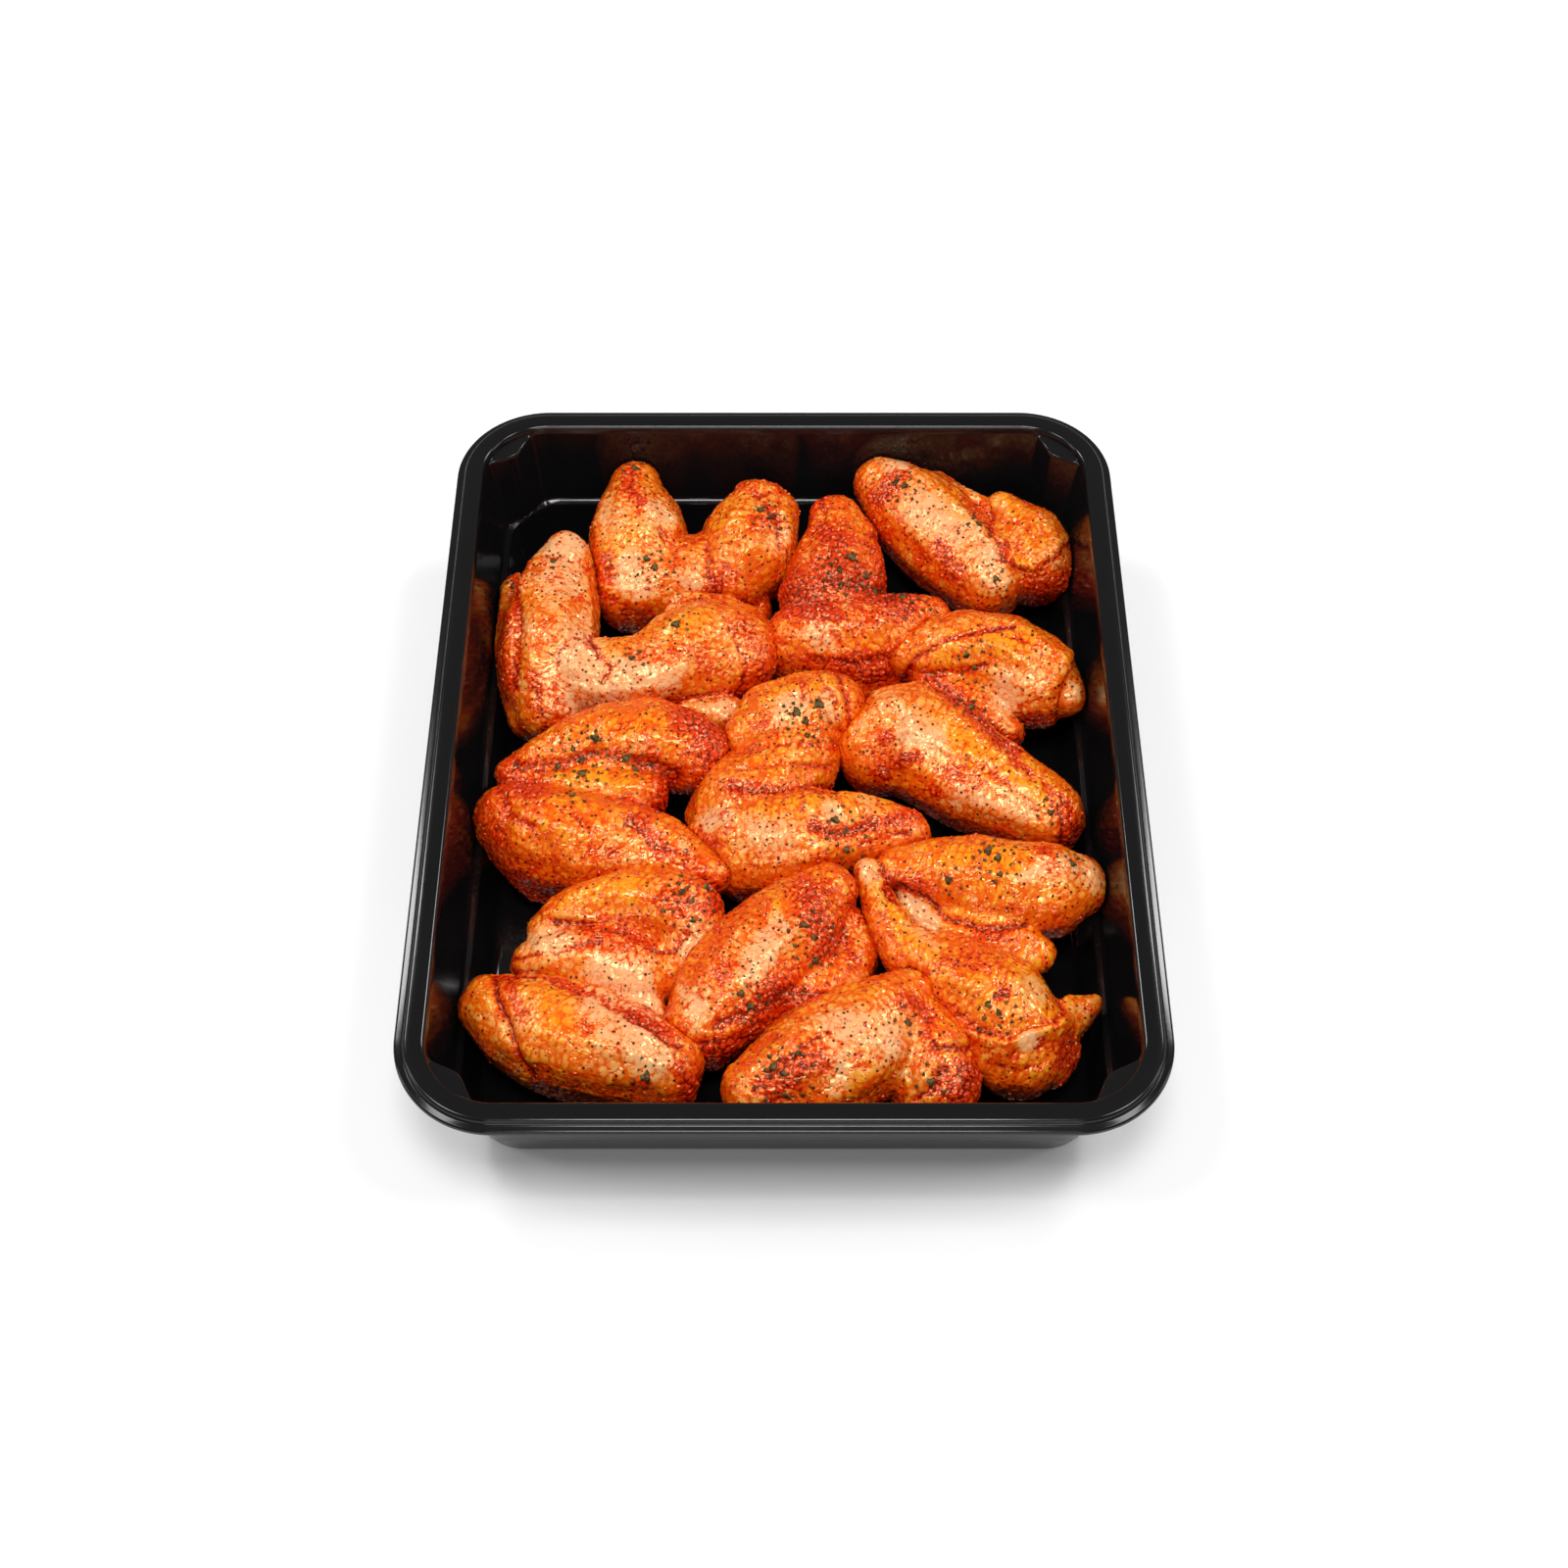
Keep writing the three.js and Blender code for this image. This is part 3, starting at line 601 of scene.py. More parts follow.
class StageLook(bpy.types.PropertyGroup):
    """Floor, light and surroundings."""

    floor: bpy.props.FloatVectorProperty(
        name="Floor", description="Colour of the floor", size=3, subtype="COLOR",
        default=(0.93, 0.93, 0.93),
    )
    key_power: bpy.props.FloatProperty(
        name="Key lights", description="Soft lights on each side overhead", default=8.5, min=0
    )
    top_power: bpy.props.FloatProperty(
        name="Top light", description="Soft light straight overhead", default=20.0, min=0
    )
    front_power: bpy.props.FloatProperty(
        name="Front light", description="Soft light from behind the camera", default=10.0, min=0
    )
    back_power: bpy.props.FloatProperty(
        name="Back lights", description="Light from behind on each side", default=8.0, min=0
    )
    side_power: bpy.props.FloatProperty(
        name="Side lights", description="Soft light from each side", default=5.0, min=0
    )
    sky: bpy.props.FloatProperty(
        name="Surroundings", description="Brightness of the white room", default=0.20, min=0
    )


# Photo pixels and the camera

VIEW_AHEAD = Vector((0.0, math.sin(CAMERA_TILT), -math.cos(CAMERA_TILT)))
VIEW_UP = Vector((0.0, math.cos(CAMERA_TILT), math.sin(CAMERA_TILT)))


def pixels_of(points):
    """Where points of the pack fall in the photo, in its pixels."""
    away = points - np.array(CAMERA_PLACE)
    depth = away @ np.array(VIEW_AHEAD)
    across = PHOTO_SIZE / 2 + FOCAL_PIXELS * away[:, 0] / depth
    down = PHOTO_SIZE / 2 - FOCAL_PIXELS * (away @ np.array(VIEW_UP)) / depth
    return np.stack([across, down], axis=1)


def sight_line(pixel):
    """The direction in which the camera sees one pixel."""
    across = (pixel[0] - PHOTO_SIZE / 2) / FOCAL_PIXELS
    down = (pixel[1] - PHOTO_SIZE / 2) / FOCAL_PIXELS
    return (VIEW_AHEAD + Vector((across, 0, 0)) - VIEW_UP * down).normalized()


# Noise for shaping the skin


def hashed(corners, seed):
    """A fixed number from 0 to 1 for each corner of a lattice."""
    mixed = corners[..., 0] * 374761393 + corners[..., 1] * 668265263
    mixed = mixed + corners[..., 2] * 1440662683 + seed * 1274126177
    mixed = (mixed ^ (mixed >> 13)) * 1274126177
    mixed = mixed ^ (mixed >> 16)
    return (mixed & 0xFFFFF) / float(0xFFFFF)


def swell(points, size, seed):
    """Smooth noise from -1 to 1 with bumps about one size across."""
    cells = points / size
    corners = np.floor(cells).astype(np.int64)
    part = cells - corners
    part = part * part * (3 - 2 * part)
    total = np.zeros(len(points))
    for offset in itertools.product((0, 1), repeat=3):
        share = np.prod(np.where(offset, part, 1 - part), axis=1)
        total += share * hashed(corners + np.array(offset), seed)
    return total * 2 - 1


# Cells: how near the middle of one may lie to its lattice's corner, and the width of a seam
CELL_MARGIN = 0.15
SEAM_WIDTH = 0.45


def cobbles(points, size, seed):
    """Rounded cells about one size across: 1 on top of each, 0 in the seams between them."""
    cells = points / size
    corners = np.floor(cells).astype(np.int64)
    nearest = np.full(len(points), 9.0)
    second = np.full(len(points), 9.0)
    for offset in itertools.product((-1, 0, 1), repeat=3):
        corner = corners + np.array(offset)
        place = np.stack([hashed(corner, seed + axis) for axis in range(3)], axis=1)
        middle = corner + CELL_MARGIN + (1 - 2 * CELL_MARGIN) * place
        distance = np.linalg.norm(middle - cells, axis=1)
        second = np.where(distance < nearest, nearest, np.minimum(second, distance))
        nearest = np.minimum(nearest, distance)
    seam = np.clip((second - nearest) / SEAM_WIDTH, 0, 1)
    return seam * seam * (3 - 2 * seam)


# Mesh helpers


def vertex_values(mesh, name):
    """Positions or normals of a mesh's vertices as an array."""
    values = np.zeros(len(mesh.vertices) * 3)
    if name == "normal":
        mesh.vertex_normals.foreach_get("vector", values)
    else:
        mesh.vertices.foreach_get(name, values)
    return values.reshape(-1, 3)


def edge_ends(mesh):
    """The two vertices of each edge."""
    ends = np.zeros(len(mesh.edges) * 2, dtype=np.int64)
    mesh.edges.foreach_get("vertices", ends)
    return ends.reshape(-1, 2)


def spread(values, ends, passes):
    """Averages values along the mesh's edges."""
    count = np.bincount(ends.ravel(), minlength=len(values)).astype(float)
    count = np.maximum(count, 1)
    for _ in range(passes):
        total = np.bincount(ends[:, 0], weights=values[ends[:, 1]], minlength=len(values))
        total += np.bincount(ends[:, 1], weights=values[ends[:, 0]], minlength=len(values))
        values = 0.5 * values + 0.5 * total / count
    return values


def store(mesh, name, values):
    """Keeps one number for each vertex, for the material to read."""
    layer = mesh.attributes.new(name, "FLOAT", "POINT")
    layer.data.foreach_set("value", values.astype(np.float32))


def take_shape(model):
    """The points and faces of a small model, which is then removed."""
    points = vertex_values(model.data, "co")
    faces = [tuple(face.vertices) for face in model.data.polygons]
    bpy.data.objects.remove(model)
    return points, faces


def deselect():
    bpy.ops.object.select_all(action="DESELECT")


def only(piece):
    """Selects one object and makes it the active one."""
    deselect()
    piece.select_set(True)
    bpy.context.view_layer.objects.active = piece


def apply_modifier(piece, kind, **settings):
    only(piece)
    modifier = piece.modifiers.new(kind.title(), kind)
    for name, value in settings.items():
        setattr(modifier, name, value)
    bpy.ops.object.modifier_apply(modifier=modifier.name)


def settle(piece, slot, *nodes):
    """Fixes a finished piece to the pack."""
    for node in nodes:
        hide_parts(node)
    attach(piece, BODY)


# The tray

TRAY_LEVELS = (
    # inset, height, corner radius and share of the lug, in millimetres, from the floor up,
    # over the rim and down to the base
    (26.5, 1.2, 13.5, 0.0),
    (23.6, 1.9, 16.4, 0.0),
    (22.3, 4.0, 17.6, 0.1),
    (18.4, 19.8, 20.1, 0.25),
    (18.3, 20.6, 20.2, 0.25),
    (17.9, 21.3, 20.4, 0.3),
    (16.4, 21.75, 21.1, 0.5),
    (16.0, 22.2, 21.3, 0.58),
    (15.6, 24.0, 21.4, 0.58),
    (13.4, 39.0, 22.8, 0.75),
    (11.3, 53.6, 24.1, 0.98),
    (11.1, 55.0, 24.2, 1.0),
    (11.05, 55.35, 24.25, 0.96),
    (11.0, 55.5, 24.3, 0.85),
    (10.95, 55.75, 24.3, 0.12),
    (10.9, 55.9, 24.35, 0.0),
    (10.6, 57.4, 24.7, 0.0),
    (10.3, 58.05, 25.0, 0.0),
    (9.8, 58.45, 25.5, 0.0),
    (9.2, 58.6, 26.1, 0.0),
    (6.7, 58.6, 28.6, 0.0),
    (4.3, 58.6, 31.0, 0.0),
    (3.7, 58.45, 31.6, 0.0),
    (3.3, 58.1, 32.0, 0.0),
    (3.1, 57.5, 32.2, 0.0),
    (2.9, 57.05, 32.4, 0.0),
    (2.3, 56.8, 33.0, 0.0),
    (0.8, 56.7, 34.5, 0.0),
    (0.25, 56.5, 35.05, 0.0),
    (0.0, 56.0, 35.3, 0.0),
    (0.0, 54.9, 35.3, 0.0),
    (0.25, 54.7, 35.05, 0.0),
    (0.9, 54.7, 34.4, 0.0),
    (1.1, 54.9, 34.2, 0.0),
    (1.2, 55.5, 34.1, 0.0),
    (3.5, 55.7, 31.8, 0.0),
    (4.2, 56.4, 31.1, 0.0),
    (4.6, 57.3, 30.7, 0.0),
    (8.8, 57.4, 26.5, 0.0),
    (9.4, 56.4, 25.9, 0.0),
    (9.7, 54.6, 25.6, 0.2),
    (10.0, 53.9, 25.3, 0.9),
    (10.3, 52.5, 25.1, 1.0),
    (14.3, 24.5, 22.5, 0.6),
    (14.5, 23.4, 22.3, 0.58),
    (15.0, 20.9, 22.0, 0.58),
    (15.5, 20.4, 21.8, 0.5),
    (17.0, 20.1, 21.1, 0.3),
    (17.4, 19.2, 20.9, 0.25),
    (21.2, 3.6, 18.7, 0.05),
    (21.7, 1.5, 18.2, 0.0),
    (22.5, 0.35, 17.5, 0.0),
    (23.6, 0.0, 16.4, 0.0),
)

# The levels of the inner wall, from the floor up to the ledges below the rim
INNER_WALL = TRAY_LEVELS[:14]

LUG_HALF_ANGLE = math.radians(28)
FLUTES = 5
CORNERS = ((1, 1), (-1, 1), (-1, -1), (1, -1))
STRAIGHT_STEPS = 6
TRAY_SHARP_ANGLE = math.radians(50)


def lug_reach(sizes, from_diagonal, share):
    """How far the corner's pillar stands in at an angle from the corner's diagonal."""
    if abs(from_diagonal) >= LUG_HALF_ANGLE or share == 0:
        return 0.0
    around = from_diagonal / LUG_HALF_ANGLE
    body = math.cos(around * math.pi / 2)
    flutes = math.cos(around * math.pi * FLUTES) * sizes.flute_depth / sizes.lug_depth
    return share * sizes.lug_depth * (body + flutes * body * (1 - share))


def corner_points(sizes, level, corner):
    """The points of one rounded corner of a level."""
    inset, height, radius, share = level
    side_x, side_y = CORNERS[corner]
    middle_x = side_x * (sizes.width / 2 - (inset + radius) * MM)
    middle_y = side_y * (sizes.length / 2 - (inset + radius) * MM)
    points = []
    for step in range(sizes.corner_steps + 1):
        turn = step / sizes.corner_steps * math.pi / 2
        angle = corner * math.pi / 2 + turn
        reach = radius * MM - lug_reach(sizes, turn - math.pi / 4, share)
        points.append((middle_x + reach * math.cos(angle), middle_y + reach * math.sin(angle), height * MM))
    return points


def tray_loop(sizes, level):
    """All points of one level: its corners, with a few points along each side between them."""
    loop = []
    for corner in range(4):
        here = corner_points(sizes, level, corner)
        after = corner_points(sizes, level, (corner + 1) % 4)[0]
        loop += here
        for step in range(1, STRAIGHT_STEPS):
            part = step / STRAIGHT_STEPS
            loop.append(tuple(a + (b - a) * part for a, b in zip(here[-1], after)))
    return loop


def build_tray(sizes):
    """The tray's floor face, drawn out level by level over the rim and down to the base."""
    loops = [tray_loop(sizes, level) for level in TRAY_LEVELS]
    deselect()
    bpy.ops.mesh.primitive_circle_add(vertices=len(loops[0]), radius=sizes.width / 2, fill_type="NGON")
    piece = bpy.context.active_object
    piece.name = "meat_tray"
    for vertex, place in zip(piece.data.vertices, loops[0]):
        vertex.co = place
    bpy.ops.object.mode_set(mode="EDIT")
    bpy.ops.mesh.select_mode(type="FACE")
    bpy.ops.mesh.select_all(action="SELECT")
    for loop in loops[1:]:
        bpy.ops.mesh.extrude_region_move()
        cage = bmesh.from_edit_mesh(piece.data)
        front = next(face for face in cage.faces if face.select)
        start = min(range(len(loop)), key=lambda turn: loop_error(front, loop, turn))
        for number, vertex in enumerate(front.verts):
            vertex.co = loop[(number + start) % len(loop)]
        bmesh.update_edit_mesh(piece.data)
    bpy.ops.mesh.select_all(action="SELECT")
    bpy.ops.mesh.normals_make_consistent(inside=False)
    bpy.ops.object.mode_set(mode="OBJECT")
    only(piece)
    bpy.ops.object.shade_smooth_by_angle(angle=TRAY_SHARP_ANGLE)
    return piece


def loop_error(face, loop, turn):
    """How far a face's first corner is from one place of the next loop, seen from above."""
    first = face.verts[0].co
    return math.hypot(first.x - loop[turn][0], first.y - loop[turn][1])


# The wings

MERGE_GAP = 1e-5

# How marks lie on the skin, in the photo's pixels, and the size of their waviness in metres
MARK_WANDER = 3.0
WANDER_SIZE = 0.006
WANDER_SEEDS = (3, 4)
LIP_WIDTH = 2.2
LIP_STAIN = 5.0

# From one bump of each kind to the next, in metres
BEND_SIZE = 0.016
BROAD_LUMP = 0.017
SMALL_LUMP = 0.008
WRINKLE_SIZE = 0.0032
PATCH_SIZE = 0.02
COARSE_GRAIN = 0.0031
FINE_GRAIN = 0.0019

# Heights and reaches of the skin's forms, in metres
BEND_REACH = 0.0035
BEADING = 0.00003
HOLLOW_DEPTH = 0.0012
FINE_DEPTH = 0.00009

# How wrinkles and feather pits are drawn out along the grain, across it and upwards
WRINKLE_STRETCH = np.array((1.0, 0.28, 0.6))
PIT_STRETCH = np.array((1.0, 0.75, 0.9))

# Passes that flatten the skin, to find its finest, its middling and its broad hollows
FLAT_PASSES = (4, 14, 60)

# The skin's gap to the tray: wanted and least at the wall, and where its relief fades out below
WALL_GAP = 0.0006
LEAST_GAP = 0.0002
FADE_START = 0.0035
FADE_HEIGHT = 0.006

# Skin below this height is painted redder and less pale as painted shade towards the bottom, over a band as
# high as the second
SHADE_HEIGHT = 0.030
SHADE_BAND = 0.022

# The way that skin faces where it stands highest to the eye; skin facing this way gets a painted sheen, made
# paler and less red
PAINTED_SHEEN_WAY = np.array((0.0, -0.2, 0.98))


def skin_copy(name):
    """A merged copy of a wing's CAD node."""
    only(frame["nodes"][name])
    bpy.ops.object.duplicate()
    piece = bpy.context.active_object
    piece.name = name + "_skin"
    piece.parent = None
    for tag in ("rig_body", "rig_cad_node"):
        if tag in piece:
            del piece[tag]
    bpy.ops.object.mode_set(mode="EDIT")
    bpy.ops.mesh.select_all(action="SELECT")
    bpy.ops.mesh.remove_doubles(threshold=MERGE_GAP)
    bpy.ops.object.mode_set(mode="OBJECT")
    return piece


def line_reach(pixels, points):
    """Distance in pixels from each vertex to a line, and which side of it the vertex is on."""
    best = np.full(len(pixels), 1e9)
    side = np.zeros(len(pixels))
    if len(points) == 1:
        return np.linalg.norm(pixels - np.array(points[0]), axis=1), side
    for start, end in zip(points, points[1:]):
        start, end = np.array(start, float), np.array(end, float)
        along = end - start
        part = np.clip((pixels - start) @ along / (along @ along), 0, 1)
        foot = start + part[:, None] * along
        gap = np.linalg.norm(pixels - foot, axis=1)
        turn = along[0] * (pixels[:, 1] - start[1]) - along[1] * (pixels[:, 0] - start[0])
        side = np.where(gap < best, np.sign(-turn), side)
        best = np.minimum(best, gap)
    return best, side


def lay_marks(name, places, facing):
    """Adds up the wing's marks: the lift in metres, and the red, pale and oily shares."""
    total = {value: np.zeros(len(places)) for value in ("lift", "red", "pale", "oil")}
    wander = np.stack([swell(places, WANDER_SIZE, seed) for seed in WANDER_SEEDS], axis=1)
    pixels = pixels_of(places) + MARK_WANDER * wander
    for item in WING_MARKS[name]:
        reach, side = line_reach(pixels, item["points"])
        weight = np.exp(-((reach / item["width"]) ** 2)) * facing
        height = item["lift"] * MM
        if item["kind"] == "edge":
            lip = 0.5 + 0.5 * np.tanh(side * reach / LIP_WIDTH)
            total["lift"] += height * weight * lip
            total["red"] += item["red"] * np.exp(-((reach / LIP_STAIN) ** 2)) * facing
        else:
            total["lift"] += height * weight
            total["red"] += item["red"] * weight
        total["pale"] += item["pale"] * weight
        total["oil"] += item["oil"] * weight
    return total


def facing_camera(places, normals):
    """1 where the skin faces the photo's camera, down to 0 where it turns away."""
    to_camera = np.array(CAMERA_PLACE) - places
    to_camera /= np.linalg.norm(to_camera, axis=1)[:, None]
    return np.clip((np.sum(normals * to_camera, axis=1) + 0.1) / 0.35, 0, 1)


def skin_relief(places, mood, sizes, number):
    """The height of the lumps, wrinkles and feather pits over a wing, and its pits' seams."""
    turn = math.radians(mood["grain"])
    along = places[:, 0] * math.cos(turn) + places[:, 1] * math.sin(turn)
    across = -places[:, 0] * math.sin(turn) + places[:, 1] * math.cos(turn)
    bent = BEND_REACH * swell(places, BEND_SIZE, WRINKLE_SEED + number)
    grained = np.stack([along + bent, across - bent, places[:, 2]], axis=1)
    lumps = swell(places, BROAD_LUMP, number) + 0.5 * swell(places, SMALL_LUMP, SMALL_LUMP_SEED + number)
    wrinkles = swell(grained * WRINKLE_STRETCH, WRINKLE_SIZE, WRINKLE_SEED + number)
    wrinkles = 1 - np.abs(wrinkles) * 2
    patchy = np.clip(0.5 + swell(places, PATCH_SIZE, PATCH_SEED + number), 0.1, 1.0)
    pits = cobbles(grained * PIT_STRETCH, sizes.follicle_gap, FOLLICLE_SEED + number)
    lift = sizes.lump * lumps + sizes.wrinkle * wrinkles * patchy + sizes.follicle * pits
    return lift, 1 - pits


def marinade_relief(places, thick, sizes, number):
    """The height of the marinade: grains where it is thick, and a fine beading all over."""
    grains = 0.65 * cobbles(places, COARSE_GRAIN, COARSE_SEED + number)
    grains += 0.35 * cobbles(places, FINE_GRAIN, FINE_SEED + number)
    beading = BEADING * swell(places, FINE_GRAIN, BEADING_SEED + number)
    return beading + sizes.granule * (grains - 0.4) * thick


def wall_room(places, tray):
    """How far each place is from the tray's inner wall, in metres."""
    heights = [level[1] * MM for level in INNER_WALL]
    insets = [level[0] * MM for level in INNER_WALL]
    inset = np.interp(places[:, 2], heights, insets)
    beside = tray.width / 2 - inset - np.abs(places[:, 0])
    behind = tray.length / 2 - inset - np.abs(places[:, 1])
    return np.minimum(beside, behind)


def lifted(places, normals, lift, tray):
    """Where the skin's points go: out by their lift, held back near the wall and the floor."""
    room = np.clip(wall_room(places, tray) - WALL_GAP, 0, None)
    fade = np.clip((places[:, 2] - FADE_START) / FADE_HEIGHT, 0, 1)
    moved = places + normals * (np.minimum(lift, room) * fade)[:, None]
    clear = wall_room(moved, tray) > LEAST_GAP
    return np.where(clear[:, None], moved, places)


def skin_masks(places, normals, lift, ends, mood, marks):
    """What the material reads at each point: its hollows, and its red, pale and oily shares, with painted
    shade low down, in the hollows and on faces turned sideways or down, and a painted sheen where the skin
    faces up.
    """
    # The material darkens these hollows: partly pooled marinade, partly painted shade in the creases and
    # pits
    fine, near, broad = (spread(lift, ends, passes) - lift for passes in FLAT_PASSES)
    # Painted shade: skin is made redder and less pale towards the bottom of the pack
    low = np.clip((SHADE_HEIGHT - places[:, 2]) / SHADE_BAND, 0, 1)
    # Skin facing sideways or down is made redder and less pale: partly thicker marinade, partly painted
    # shade
    side = side_share(normals)
    # Painted sheen: skin facing up and a little forward is made paler, and skin turned away from it redder,
    # where light falls on the tops
    painted_sheen = np.clip((normals @ PAINTED_SHEEN_WAY - 0.55) / 0.42, 0, 1)
    return {
        "hollow": np.clip((near + 0.6 * broad) / HOLLOW_DEPTH, -1, 1.5),
        "fine": np.clip(fine / FINE_DEPTH, -1, 1.5),
        "red": marks["red"] + mood["red"] + 0.25 * low + 0.15 * side + 0.16 * (1 - painted_sheen),
        "pale": marks["pale"] + mood["pale"] - 0.25 * low - 0.25 * side + 0.45 * painted_sheen - 0.25,
        "oil": marks["oil"] + mood["oil"],
    }


def side_share(normals):
    """0 where skin faces up, rising where it faces sideways or down."""
    return np.clip(0.72 - normals[:, 2], 0, 1)


def shape_skin(piece, name, number, sizes, tray):
    """Presses folds, lumps, wrinkles and feather pits into a smooth wing."""
    mesh = piece.data
    places = vertex_values(mesh, "co")
    normals = vertex_values(mesh, "normal")
    mood = WING_MOODS[name]
    marks = lay_marks(name, places, facing_camera(places, normals))
    thick = marks["red"] + mood["red"] + 0.5 * side_share(normals)
    thick = np.clip(thick - 0.6 * np.clip(marks["pale"], 0, 1), 0, 1)
    skin_lift, seams = skin_relief(places, mood, sizes, number)
    lift = skin_lift + marks["lift"] + sizes.plump
    lift += marinade_relief(places, thick, sizes, number)
    mesh.vertices.foreach_set("co", lifted(places, normals, lift, tray).ravel())
    mesh.update()
    masks = skin_masks(places, normals, lift, edge_ends(mesh), mood, marks)
    masks["seam"] = seams
    for label in SKIN_VALUES:
        store(mesh, label, masks[label])


def build_wing(name, number, sizes, tray):
    """One wing's skin: the merged solid, remeshed, rounded and shaped."""
    piece = skin_copy(name)
    apply_modifier(piece, "REMESH", mode="VOXEL", voxel_size=sizes.voxel, use_smooth_shade=True)
    apply_modifier(piece, "SMOOTH", factor=0.5, iterations=sizes.rounding)
    shape_skin(piece, name, number, sizes, tray)
    only(piece)
    bpy.ops.object.shade_smooth()
    return piece


# Shader groups and materials

# What the skin stores at each point, in the order of the marinade group's inputs
SKIN_VALUES = ("red", "pale", "oil", "hollow", "seam", "fine")

# From nothing to full, for each mask of the marinade
MASK_RANGES = {"Oily": (0.05, 0.90), "Orange": (0.15, 0.95), "Red": (0.35, 0.95), "Deep": (0.40, 1.0)}


class Nodes:
    """Places nodes in a tree and links them."""

    def __init__(self, tree):
        self.tree = tree
        self.column = 0

    def add(self, kind, **settings):
        node = self.tree.nodes.new(kind)
        node.location = (self.column * 190, 0)
        self.column += 1
        for name, value in settings.items():
            setattr(node, name, value)
        return node

    def link(self, start, end):
        self.tree.links.new(start, end)

    def feed(self, socket, value):
        """Links a socket to another, or sets it to a plain value."""
        if isinstance(value, bpy.types.NodeSocket):
            self.link(value, socket)
        else:
            socket.default_value = value

    def assign(self, node, values):
        """Links or sets inputs of a node by name."""
        for name, value in values.items():
            self.feed(node.inputs[name], value)

    def math(self, operation, first, second=0.0, third=0.0):
        node = self.add("ShaderNodeMath", operation=operation)
        for socket, value in zip(node.inputs, (first, second, third)):
            self.feed(socket, value)
        return node.outputs[0]

    def total(self, value, *terms):
        """A value plus each term's input times its weight."""
        for source, weight in terms:
            value = self.math("MULTIPLY_ADD", source, weight, value)
        return value

    def ramp(self, value, low, high):
        """0 below low, 1 above high, smooth between. With low above high it falls instead."""
        node = self.add("ShaderNodeMapRange", interpolation_type="SMOOTHSTEP")
        self.assign(node, {"Value": value, "From Min": low, "From Max": high})
        return node.outputs["Result"]

    def blend(self, share, first, second):
        node = self.add("ShaderNodeMix", data_type="RGBA")
        self.assign(node, {"Factor": share, "A": first, "B": second})
        return node.outputs["Result"]

    def noise(self, place, scale, detail=3.0, roughness=0.55, distortion=0.0):
        node = self.add("ShaderNodeTexNoise")
        self.assign(node, {"Vector": place, "Scale": scale, "Detail": detail})
        self.assign(node, {"Roughness": roughness, "Distortion": distortion})
        return node.outputs["Fac"]

    def cells(self, place, scale, feature="F1"):
        node = self.add("ShaderNodeTexVoronoi", feature=feature)
        self.assign(node, {"Vector": place, "Scale": scale})
        return node

    def warped(self, place, scale, reach):
        """The place moved about by noise, so that cells laid on it come out crooked."""
        shift = self.add("ShaderNodeTexNoise")
        self.assign(shift, {"Vector": place, "Scale": scale})
        moved = self.add("ShaderNodeVectorMath", operation="MULTIPLY_ADD")
        for socket, value in zip(moved.inputs, (shift.outputs["Color"], (reach, reach, reach), place)):
            self.feed(socket, value)
        return moved.outputs[0]

    def attribute(self, name):
        return self.add("ShaderNodeAttribute", attribute_name=name).outputs["Fac"]


def colour(value, factor=1.0):
    """A colour for a socket, made lighter or darker by a factor."""
    return (*(part * factor for part in value), 1.0)


def new_group(name, inputs, outputs):
    """An empty shader node group. Its places are vectors, and all other sockets are numbers."""
    tree = bpy.data.node_groups.new(name, "ShaderNodeTree")
    for labels, way in ((inputs, "INPUT"), (outputs, "OUTPUT")):
        for label in labels:
            kind = "NodeSocketVector" if label == "Place" else "NodeSocketFloat"
            tree.interface.new_socket(label, in_out=way, socket_type=kind)
    nodes = Nodes(tree)
    start = nodes.add("NodeGroupInput")
    end = tree.nodes.new("NodeGroupOutput")
    return tree, nodes, start.outputs, end


def marinade_group():
    """Where the marinade lies on the skin, with painted shade in the hollows: masks from the skin's own
    values and from noise.
    """
    labels = [label.title() for label in SKIN_VALUES]
    tree, nodes, given, end = new_group("marinade_masks", ["Place", *labels], MASK_RANGES)
    red, pale, oil, hollow, seam, fine = (given[label] for label in labels)
    broad = nodes.noise(given["Place"], scale=48, detail=3, roughness=0.6, distortion=0.4)
    patch = nodes.noise(given["Place"], scale=150, detail=4, roughness=0.68, distortion=0.8)
    grit = nodes.noise(given["Place"], scale=620, detail=3, roughness=0.7)
    uneven = nodes.total(-2.0, (patch, 2.2), (grit, 1.8))
    wide = nodes.total(-0.55, (broad, 1.1))
    # The hollow and fine terms make creases and pits more orange, red and deep: partly pooled marinade,
    # partly painted shade
    sums = {
        "Oily": nodes.total(0.88, (pale, -0.8), (wide, 1.0), (oil, 0.5), (uneven, 0.5)),
        "Orange": nodes.total(
            0.60, (pale, -0.8), (red, 0.75), (oil, -0.16), (hollow, 0.42), (seam, 0.5),
            (fine, 0.26), (uneven, 1.15), (wide, 0.5),
        ),
        "Red": nodes.total(
            0.26, (red, 0.95), (hollow, 0.25), (fine, 0.22), (pale, -0.2), (uneven, 0.9), (wide, 0.25)
        ),
        "Deep": nodes.total(0.10, (red, 0.42), (hollow, 0.45), (fine, 0.28), (uneven, 0.5)),
    }
    for label, (low, high) in MASK_RANGES.items():
        nodes.link(nodes.ramp(sums[label], low, high), end.inputs[label])
    return tree


